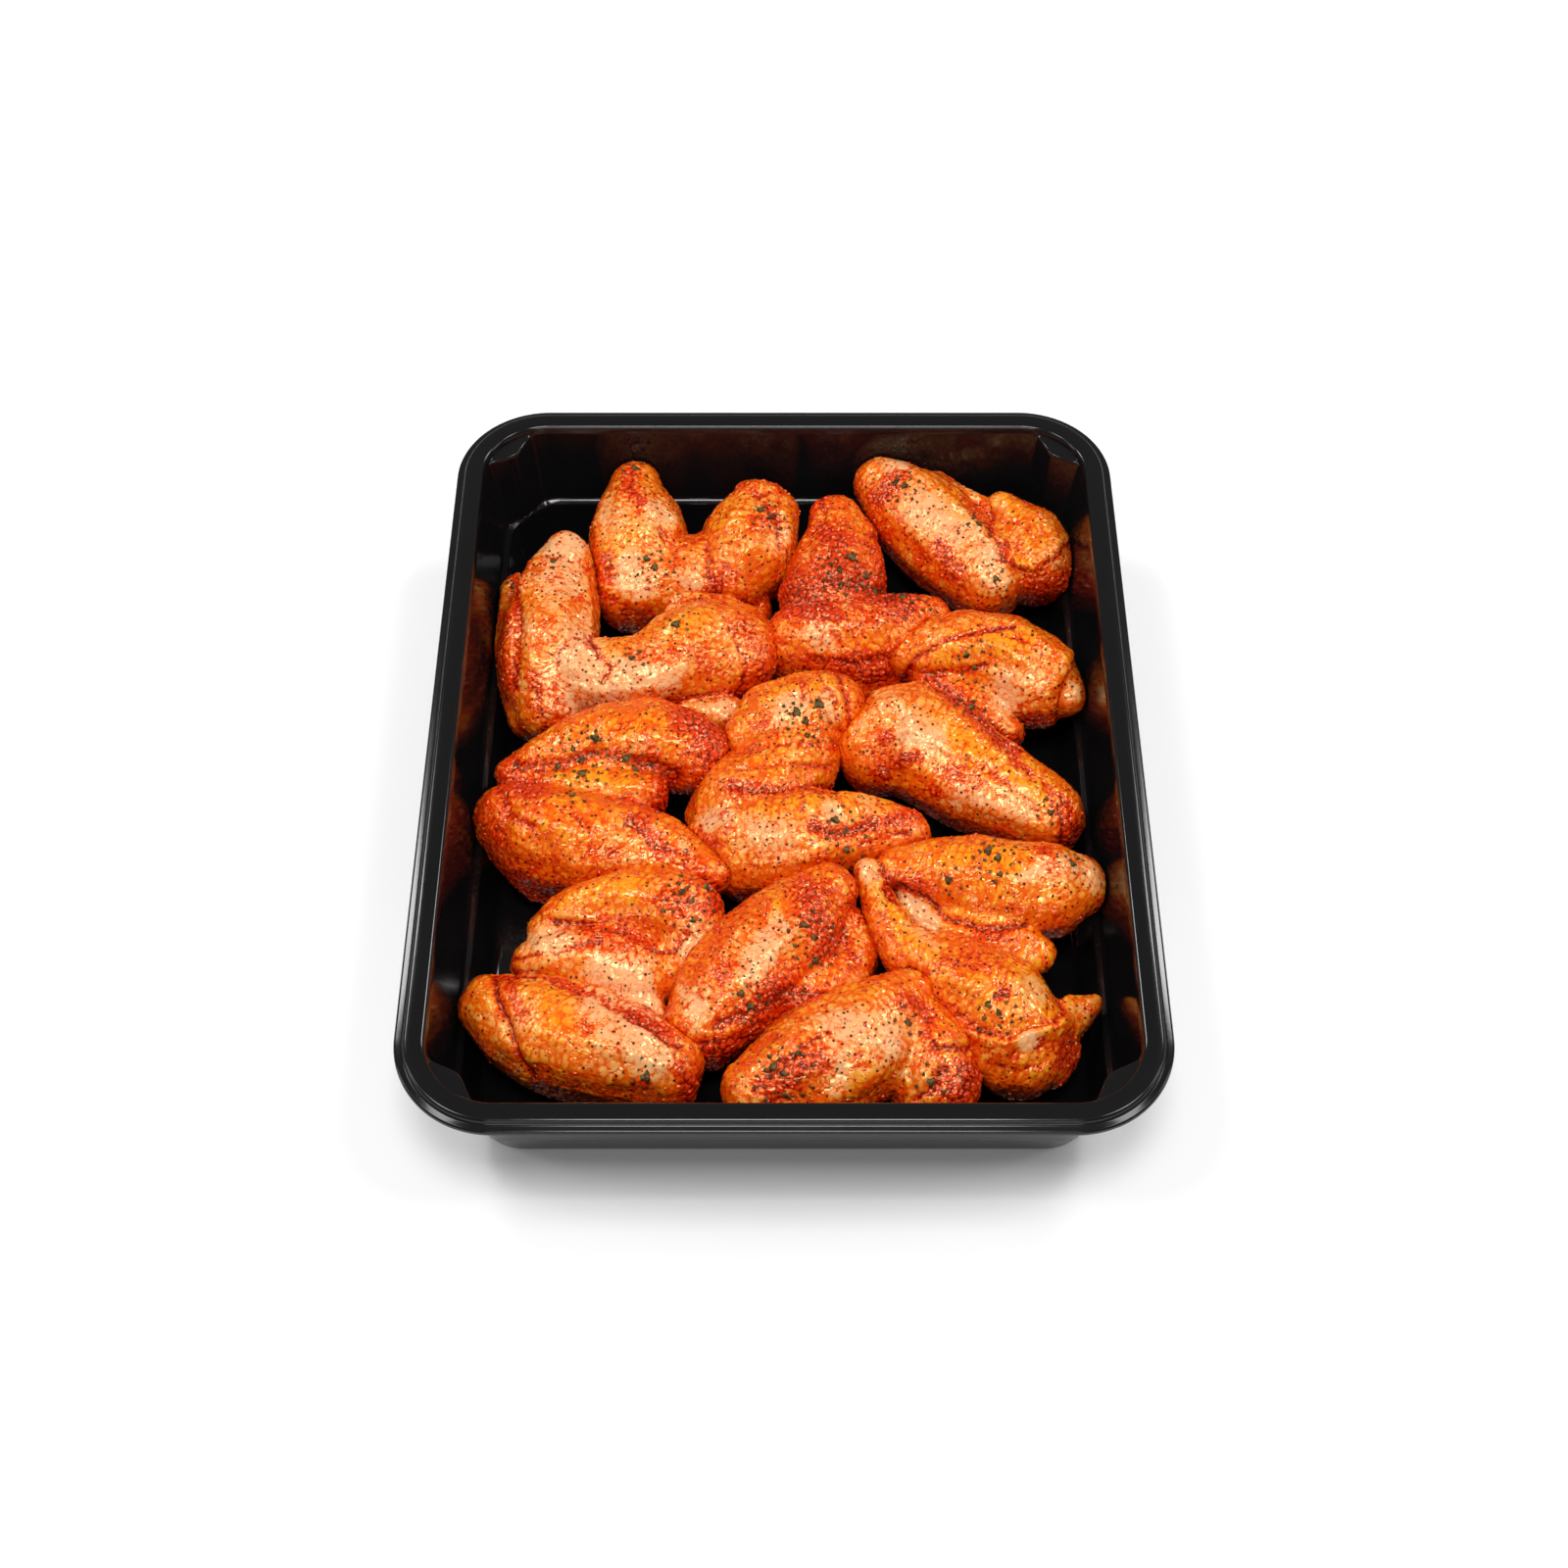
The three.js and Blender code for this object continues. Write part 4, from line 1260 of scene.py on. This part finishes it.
def fleck_group():
    """Fine ground spice: small dark dots, each in its own cell, with gaps left at random."""
    tree, nodes, given, end = new_group("spice_flecks", ("Place", "Scale", "Share"), ("Mask", "Halo"))
    cells = nodes.cells(given["Place"], given["Scale"])
    split = nodes.add("ShaderNodeSeparateColor")
    nodes.link(cells.outputs["Color"], split.inputs["Color"])
    chosen = nodes.math("LESS_THAN", split.outputs["Red"], given["Share"])
    for label, outer, inner in (("Mask", 0.26, 0.15), ("Halo", 0.46, 0.18)):
        dot = nodes.ramp(cells.outputs["Distance"], outer, inner)
        nodes.link(nodes.math("MULTIPLY", dot, chosen), end.inputs[label])
    return tree


def crackle_group():
    """Thin lines of marinade that run from one feather pit to the next."""
    tree, nodes, given, end = new_group("skin_crackle", ("Place",), ("Line",))
    crooked_place = nodes.warped(given["Place"], scale=420, reach=0.0016)
    edge = nodes.cells(crooked_place, 400, feature="DISTANCE_TO_EDGE").outputs["Distance"]
    line = nodes.ramp(edge, 0.13, 0.01)
    broken = nodes.ramp(nodes.noise(given["Place"], scale=230, detail=2), 0.38, 0.62)
    nodes.link(nodes.math("MULTIPLY", line, broken), end.inputs["Line"])
    return tree


def relief_group():
    """Height of the wet skin's finest relief, which the mesh is too coarse for."""
    tree, nodes, given, end = new_group("wet_skin_relief", ("Place", "Wet"), ("Height",))
    crooked_place = nodes.warped(given["Place"], scale=500, reach=0.0022)
    granules = nodes.ramp(nodes.cells(crooked_place, 300).outputs["Distance"], 0.70, 0.10)
    curls = nodes.noise(given["Place"], scale=270, detail=0, distortion=1.4)
    curls = nodes.math("POWER", nodes.total(-1.0, (curls, 2.0)), 2.0)
    drops = nodes.noise(given["Place"], scale=800, detail=0)
    wet = nodes.total(0.65, (given["Wet"], 1.0))
    height = nodes.math("MULTIPLY", nodes.total(granules, (curls, -2.4)), wet)
    nodes.link(nodes.total(height, (drops, 0.06)), end.inputs["Height"])
    return tree


def use_group(nodes, tree, **values):
    """A group's node, with its inputs set by name."""
    node = nodes.add("ShaderNodeGroup", node_tree=tree)
    nodes.assign(node, values)
    return node.outputs


def new_material(name):
    """A material with its nodes, its shader and the place on the object."""
    material = bpy.data.materials.new(name)
    material.use_nodes = True
    nodes = Nodes(material.node_tree)
    shader = material.node_tree.nodes["Principled BSDF"]
    shader.location = (2600, 0)
    place = nodes.add("ShaderNodeTexCoord").outputs["Object"]
    return material, nodes, shader, place


def bump(nodes, height, strength, distance):
    """The normal that a height gives."""
    node = nodes.add("ShaderNodeBump")
    nodes.assign(node, {"Height": height, "Strength": strength, "Distance": distance})
    return node.outputs["Normal"]


def skin_tint(nodes, masks, place, colours, groups):
    """The skin's colour, from bare skin up to pooled marinade with painted shade in the hollows, and spice.
    """
    line = use_group(nodes, groups["crackle"], Place=place)["Line"]
    big = use_group(nodes, groups["flecks"], Place=place, Scale=420.0, Share=0.6)
    small = use_group(nodes, groups["flecks"], Place=place, Scale=820.0, Share=0.30)
    layers = (
        (masks["Oily"], colours.oil),
        (masks["Orange"], colours.orange),
        (nodes.math("MULTIPLY", line, 0.6), colours.orange),
        (masks["Red"], colours.red),
        (masks["Deep"], colours.deep),
        (nodes.math("MULTIPLY", small["Mask"], 0.55), colours.red),
        (nodes.math("MULTIPLY", big["Halo"], 0.5), colours.red),
        (big["Mask"], colours.fleck),
    )
    tint = colour(colours.pale)
    for share, layer in layers:
        tint = nodes.blend(share, tint, colour(layer))
    return tint


def skin_material(colours, groups):
    """Raw skin under oil and paprika: wet, a little see-through, red where marinade pools."""
    material, nodes, shader, place = new_material("marinated_skin")
    values = {label.title(): nodes.attribute(label) for label in SKIN_VALUES}
    masks = use_group(nodes, groups["marinade"], Place=place, **values)
    relief = use_group(nodes, groups["relief"], Place=place, Wet=masks["Orange"])
    nodes.assign(shader, {
        "Base Color": skin_tint(nodes, masks, place, colours, groups),
        "Normal": bump(nodes, relief["Height"], 1.0, 0.00013),
        "Roughness": nodes.total(0.115, (masks["Orange"], -0.03)),
        "Subsurface Weight": 0.07,
        "Subsurface Radius": (1.0, 0.35, 0.15),
        "Subsurface Scale": 0.002,
        "Specular IOR Level": 1.0,
        "Specular Tint": (1.0, 0.62, 0.27, 1.0),
        "Coat Weight": 0.08,
        "Coat Roughness": 0.06,
    })
    return material


def tray_material(sizes):
    """Glossy black plastic with a faint unevenness from forming."""
    material, nodes, shader, place = new_material("black_plastic")
    haze = nodes.noise(place, scale=30, detail=3)
    streak = nodes.noise(place, scale=260, detail=2)
    nodes.assign(shader, {
        "Base Color": nodes.blend(haze, colour(sizes.plastic), colour(sizes.plastic, 1.5)),
        "Normal": bump(nodes, streak, 0.012, 0.0004),
        "Roughness": nodes.total(0.07, (haze, 0.08)),
        "Specular IOR Level": 0.36,
    })
    return material


def herb_material(sizes):
    """Dried leaf, dark and mottled, with a little oil on it."""
    material, nodes, shader, place = new_material("herb_leaf")
    mottle = nodes.noise(place, scale=620, detail=4, roughness=0.7)
    patches = nodes.ramp(mottle, 0.35, 0.7)
    nodes.assign(shader, {
        "Base Color": nodes.blend(patches, colour(sizes.herb, 0.2), colour(sizes.herb, 2.4)),
        "Normal": bump(nodes, mottle, 0.5, 0.0004),
        "Roughness": nodes.total(0.35, (mottle, 0.3)),
        "Specular IOR Level": 0.25,
        "Specular Tint": (1.0, 0.8, 0.5, 1.0),
    })
    return material


def pepper_material(sizes):
    """Ground pepper, brown to black."""
    material, nodes, shader, place = new_material("ground_pepper")
    mottle = nodes.noise(place, scale=1200, detail=2)
    nodes.assign(shader, {
        "Base Color": nodes.blend(mottle, colour(sizes.pepper, 0.5), colour(sizes.pepper, 3.0)),
        "Roughness": nodes.total(0.35, (mottle, 0.3)),
    })
    return material


def bead_material(colours):
    """Beads of thick marinade, orange to red."""
    material, nodes, shader, place = new_material("thick_marinade")
    mix = nodes.noise(place, scale=90, detail=2)
    patches = nodes.ramp(mix, 0.38, 0.62)
    nodes.assign(shader, {
        "Base Color": nodes.blend(patches, colour(colours.orange), colour(colours.red)),
        "Roughness": nodes.total(0.18, (mix, 0.1)),
        "Subsurface Weight": 0.2,
        "Subsurface Radius": (1.0, 0.25, 0.1),
        "Subsurface Scale": 0.001,
        "Coat Weight": 1.0,
        "Coat Roughness": 0.06,
    })
    return material


def chili_material(sizes):
    """Wet chili skin, a little uneven."""
    material, nodes, shader, place = new_material("chili_skin")
    mix = nodes.noise(place, scale=500, detail=2)
    nodes.assign(shader, {
        "Base Color": nodes.blend(mix, colour(sizes.chili), colour(sizes.chili, 1.4)),
        "Roughness": nodes.total(0.14, (mix, 0.12)),
        "Coat Weight": 1.0,
        "Coat Roughness": 0.05,
    })
    return material


# What is strewn over the wings


# How far a strewn thing leans from the skin, how it is stretched, and how its size varies
LEAN = 0.12
STRETCH = (0.75, 1.25)
GRAIN_SPREAD = (0.55, 1.5)
FLAKE_SPREAD = (0.75, 1.2)

# Herb flakes: how far they stand off the skin, how steep skin may be, and a crumb's size
FLAKE_RISE = 0.0005
LEAST_UPWARD = 0.3
CRUMB_SIZE = 0.42
ABOVE_WINGS = 0.09

# Pepper and beads lie above these heights, in metres
PEPPER_FLOOR = 0.014
BEAD_FLOOR = 0.010


def pebble():
    """A crumb: a rough ball with its corners pushed in and out."""
    deselect()
    bpy.ops.mesh.primitive_ico_sphere_add(subdivisions=1, radius=1.0)
    points, faces = take_shape(bpy.context.active_object)
    return points * (1 + 0.35 * swell(points * 3.1, 1.0, 8))[:, None] * np.array([1.0, 0.8, 0.7]), faces


def drop():
    """A bead of marinade: a ball pressed a little flat."""
    deselect()
    bpy.ops.mesh.primitive_uv_sphere_add(segments=8, ring_count=5, radius=1.0)
    points, faces = take_shape(bpy.context.active_object)
    return points * np.array([1.0, 1.0, 0.75]), faces


def leaf_scrap():
    """A scrap of dried leaf: a jagged, slightly cupped sheet with a thickness."""
    deselect()
    bpy.ops.mesh.primitive_circle_add(vertices=9, radius=1.0, fill_type="TRIFAN")
    model = bpy.context.active_object
    points = vertex_values(model.data, "co")
    angle = np.arctan2(points[:, 1], points[:, 0])
    jag = 0.78 + 0.22 * np.cos(3 * angle + 0.6) + 0.14 * np.cos(5 * angle)
    edge = np.linalg.norm(points[:, :2], axis=1) > 0.5
    points[edge] *= jag[edge, None]
    points[:, 2] = np.where(edge, -0.10 + 0.16 * np.cos(2 * angle), 0.12)
    model.data.vertices.foreach_set("co", points.ravel())
    apply_modifier(model, "SOLIDIFY", thickness=0.22, offset=0.0)
    return take_shape(model)


def turned_to(normals, angles):
    """For each place, three directions: two along the skin, and one out of it."""
    helper = np.where(np.abs(normals[:, :1]) < 0.7, [[1.0, 0.0, 0.0]], [[0.0, 1.0, 0.0]])
    first = np.cross(helper, normals)
    first /= np.linalg.norm(first, axis=1)[:, None]
    second = np.cross(normals, first)
    east = first * np.cos(angles)[:, None] + second * np.sin(angles)[:, None]
    north = np.cross(normals, east)
    return np.stack([east, north, normals], axis=1)


def strew(name, model, places, normals, sizes, random, sink=0.0):
    """One mesh with a copy of the model at every place, turned at random on the skin."""
    points, faces = model
    count = len(places)
    angles = random.uniform(0, 2 * math.pi, count)
    lean = normals + random.normal(0, LEAN, normals.shape)
    lean /= np.linalg.norm(lean, axis=1)[:, None]
    turns = turned_to(lean, angles)
    stretch = random.uniform(*STRETCH, (count, 1, 3))
    local = points[None, :, :] * sizes[:, None, None] * stretch
    spots = places - normals * (sizes * sink)[:, None]
    vertices = np.einsum("npk,nkj->npj", local, turns) + spots[:, None, :]
    all_faces = []
    for number in range(count):
        start = number * len(points)
        all_faces += [tuple(corner + start for corner in face) for face in faces]
    mesh = bpy.data.meshes.new(name)
    mesh.from_pydata(vertices.reshape(-1, 3).tolist(), [], all_faces)
    mesh.update()
    piece = bpy.data.objects.new(name, mesh)
    bpy.context.scene.collection.objects.link(piece)
    return piece


def skin_samples(piece, count, random, weigh):
    """Random places on a wing's skin, more of them where the weight is high."""
    mesh = piece.data
    places = vertex_values(mesh, "co")
    normals = vertex_values(mesh, "normal")
    values = {}
    for name in ("red", "pale", "hollow"):
        layer = np.zeros(len(mesh.vertices), dtype=np.float32)
        mesh.attributes[name].data.foreach_get("value", layer)
        values[name] = layer
    weight = np.clip(weigh(places, normals, values), 0, None)
    chosen = random.choice(len(places), size=count, replace=False, p=weight / weight.sum())
    return places[chosen], normals[chosen]


def open_to_sight(places, normals, values):
    """Pepper lies on whatever faces up or forward."""
    seen = np.clip(normals[:, 2] + 0.25, 0, 1) * (places[:, 2] > PEPPER_FLOOR)
    return seen * (1 + 0.6 * np.clip(values["hollow"], 0, 1))


def near_red(places, normals, values):
    """Thick marinade gathers where the skin is red, and in the folds."""
    seen = np.clip(normals[:, 2] + 0.45, 0, 1) * (places[:, 2] > BEAD_FLOOR)
    return seen * (0.10 + np.clip(values["red"], 0, 1.5) ** 1.5 + 0.6 * np.clip(values["hollow"], 0, 1))


def cluster_sites(tree, middle, count, sizes):
    """One herb cluster: whole flakes on a spiral, as in the solids, with crumbs among them."""
    golden_turn = math.pi * (3 - math.sqrt(5))
    sites = []
    for number in range(count * (1 + sizes.crumb_count)):
        crumb = number >= count
        angle = number * golden_turn
        reach = sizes.herb_spacing * math.sqrt(number / 5 + 0.3 if crumb else number)
        above = (middle.x + reach * math.cos(angle), middle.y + reach * math.sin(angle), ABOVE_WINGS)
        place, normal = tree.ray_cast(Vector(above), Vector((0, 0, -1)))[:2]
        if place is not None and normal.z > LEAST_UPWARD:
            sites.append((place, normal, CRUMB_SIZE if crumb else 1.0))
    return sites


def strew_herbs(trees, sizes, random):
    """All herb flakes as one piece."""
    sites = []
    for name, clusters in HERB_CLUSTERS.items():
        for pixel, count in clusters:
            middle = trees[name].ray_cast(CAMERA_PLACE, sight_line(pixel))[0]
            if middle is not None:
                sites += cluster_sites(trees[name], middle, count, sizes)
    places, normals, shares = (np.array(column) for column in zip(*sites))
    radii = shares * sizes.herb_radius * random.uniform(*FLAKE_SPREAD, len(sites))
    return strew("herb_flakes", leaf_scrap(), places + normals * FLAKE_RISE, normals, radii, random)


def strew_grains(name, model, count, radius, weigh, sink, skins, random):
    """As many grains of one kind on each wing, as one piece."""
    found = [skin_samples(skins[wing], count, random, weigh) for wing in WINGS]
    places, normals = (np.concatenate(column) for column in zip(*found))
    radii = radius * random.uniform(*GRAIN_SPREAD, len(places))
    return strew(name, model, places, normals, radii, random, sink)


def finish_topping(piece, material, slot):
    """Gives a strewn piece its material and fixes it to the pack."""
    piece.data.materials.append(material)
    only(piece)
    bpy.ops.object.shade_smooth()
    settle(piece, slot)


# Light, floor and camera

FLOOR_SIZE = 12.0

# Each lamp: its place, its size and the setting that gives its power
LAMPS = (
    ("left_key", (-0.95, -0.1, 1.9), (0.5, 0.5), "key_power"),
    ("right_key", (0.95, -0.1, 1.9), (0.5, 0.5), "key_power"),
    ("top_key", (0.0, -0.55, 2.15), (0.6, 0.6), "top_power"),
    ("back_left_light", (-1.0, 0.95, 1.5), (0.35, 0.35), "back_power"),
    ("back_right_light", (1.0, 0.95, 1.5), (0.35, 0.35), "back_power"),
    ("left_light", (-1.7, 0.1, 1.1), (0.4, 1.2), "side_power"),
    ("right_light", (1.7, 0.1, 1.1), (0.4, 1.2), "side_power"),
    ("front_light", (0.0, -2.2, 1.1), (1.2, 0.4), "front_power"),
)
LIT_POINT = Vector((0, 0, 0.03))


def add_area(name, place, size, power):
    """A rectangular lamp that faces the pack."""
    light = bpy.data.lights.new(name, "AREA")
    light.shape = "RECTANGLE"
    light.size, light.size_y = size
    light.energy = power
    lamp = bpy.data.objects.new(name, light)
    bpy.context.scene.collection.objects.link(lamp)
    lamp.location = place
    lamp.rotation_euler = (LIT_POINT - Vector(place)).to_track_quat("-Z", "Y").to_euler()


def add_floor(look):
    """A plain pale floor, very slightly mottled."""
    deselect()
    bpy.ops.mesh.primitive_plane_add(size=FLOOR_SIZE, location=(0, 0, 0))
    floor = bpy.context.active_object
    floor.name = "floor"
    material, nodes, shader, place = new_material("pale_floor")
    mottle = nodes.noise(place, scale=4, detail=2)
    tint = nodes.blend(mottle, colour(look.floor, 0.99), colour(look.floor))
    nodes.assign(shader, {"Base Color": tint, "Roughness": 0.85})
    floor.data.materials.append(material)


def add_camera():
    """The camera that took the photo."""
    camera = bpy.data.objects.new("camera", bpy.data.cameras.new("camera"))
    bpy.context.scene.collection.objects.link(camera)
    camera.location = CAMERA_PLACE
    camera.rotation_euler = (CAMERA_TILT, 0, 0)
    camera.data.sensor_width = SENSOR_WIDTH
    camera.data.lens = FOCAL_PIXELS / PHOTO_SIZE * SENSOR_WIDTH
    camera.data.clip_start = 0.01
    camera.data.clip_end = 50
    bpy.context.scene.camera = camera


def add_surroundings(look):
    """A white room round the pack."""
    world = bpy.data.worlds.new("white_room")
    world.use_nodes = True
    background = world.node_tree.nodes["Background"]
    background.inputs["Color"].default_value = (1, 1, 1, 1)
    background.inputs["Strength"].default_value = look.sky
    bpy.context.scene.world = world


# Operators


class PACK_OT_tray(bpy.types.Operator):
    """Builds the black tray"""

    bl_idname = "pack.tray"
    bl_label = "Build tray"

    def execute(self, context):
        sizes = context.scene.tray_sizes
        piece = build_tray(sizes)
        piece.data.materials.append(tray_material(sizes))
        settle(piece, "tray_plastic", "tray")
        return {"FINISHED"}


class PACK_OT_wings(bpy.types.Operator):
    """Builds the skin of every wing"""

    bl_idname = "pack.wings"
    bl_label = "Build wings"

    def execute(self, context):
        groups = {
            "marinade": marinade_group(),
            "flecks": fleck_group(),
            "crackle": crackle_group(),
            "relief": relief_group(),
        }
        material = skin_material(context.scene.skin_colours, groups)
        for number, name in enumerate(WINGS):
            piece = build_wing(name, number, context.scene.skin_sizes, context.scene.tray_sizes)
            piece.data.materials.clear()
            piece.data.materials.append(material)
            settle(piece, WING_SLOTS.get(name, "marinated_skin"), name)
        return {"FINISHED"}


class PACK_OT_toppings(bpy.types.Operator):
    """Strews herbs, pepper, chili and beads of marinade over the wings"""

    bl_idname = "pack.toppings"
    bl_label = "Strew toppings"

    def execute(self, context):
        sizes = context.scene.topping_sizes
        colours = context.scene.skin_colours
        random = np.random.default_rng(SCATTER_SEED)
        skins = {name: bpy.data.objects[name + "_skin"] for name in WINGS}
        graph = context.evaluated_depsgraph_get()
        trees = {name: BVHTree.FromObject(skin, graph) for name, skin in skins.items()}
        finish_topping(strew_herbs(trees, sizes, random), herb_material(sizes), "herb_flakes")
        crumb = pebble()
        kinds = (
            ("pepper_specks", crumb, sizes.pepper_count, sizes.pepper_radius, open_to_sight, 0.0,
             pepper_material(sizes), "pepper_specks"),
            ("marinade_beads", drop(), sizes.bead_count, sizes.bead_radius, near_red, 0.25,
             bead_material(colours), "chili_bits"),
            ("chili_bits", crumb, sizes.chili_count, sizes.chili_radius, near_red, 0.35,
             chili_material(sizes), "chili_bits"),
        )
        for name, model, count, radius, weigh, sink, material, slot in kinds:
            piece = strew_grains(name, model, count, radius, weigh, sink, skins, random)
            finish_topping(piece, material, slot)
        return {"FINISHED"}


class PACK_OT_stage(bpy.types.Operator):
    """Sets up the floor, the light and the camera"""

    bl_idname = "pack.stage"
    bl_label = "Set up stage"

    def execute(self, context):
        look = context.scene.stage_look
        add_floor(look)
        add_surroundings(look)
        for name, place, size, power in LAMPS:
            add_area(name, place, size, getattr(look, power))
        add_camera()
        context.scene.view_settings.view_transform = "Standard"
        return {"FINISHED"}


class PACK_PT_panel(bpy.types.Panel):
    """Lists the steps that build the pack"""

    bl_idname = "PACK_PT_panel"
    bl_label = "Tray of wings"
    bl_space_type = "VIEW_3D"
    bl_region_type = "UI"
    bl_category = "Wings"

    def draw(self, context):
        for step in STEPS:
            self.layout.operator(step.bl_idname)


STEPS = (PACK_OT_tray, PACK_OT_wings, PACK_OT_toppings, PACK_OT_stage)
SETTINGS = {
    "tray_sizes": TraySizes,
    "skin_sizes": SkinSizes,
    "skin_colours": SkinColours,
    "topping_sizes": ToppingSizes,
    "stage_look": StageLook,
}


def register():
    """Registers the settings, the steps and the panel."""
    for kind in (*SETTINGS.values(), *STEPS, PACK_PT_panel):
        bpy.utils.register_class(kind)
    for name, kind in SETTINGS.items():
        setattr(bpy.types.Scene, name, bpy.props.PointerProperty(type=kind))


def unregister():
    """Takes the settings, the steps and the panel out again."""
    for name in SETTINGS:
        delattr(bpy.types.Scene, name)
    for kind in reversed((*SETTINGS.values(), *STEPS, PACK_PT_panel)):
        bpy.utils.unregister_class(kind)


def main():
    """Builds the pack step by step."""
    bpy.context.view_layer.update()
    register()
    bpy.ops.pack.tray()
    bpy.ops.pack.wings()
    bpy.ops.pack.toppings()
    bpy.ops.pack.stage()


if __name__ == "__main__":
    main()
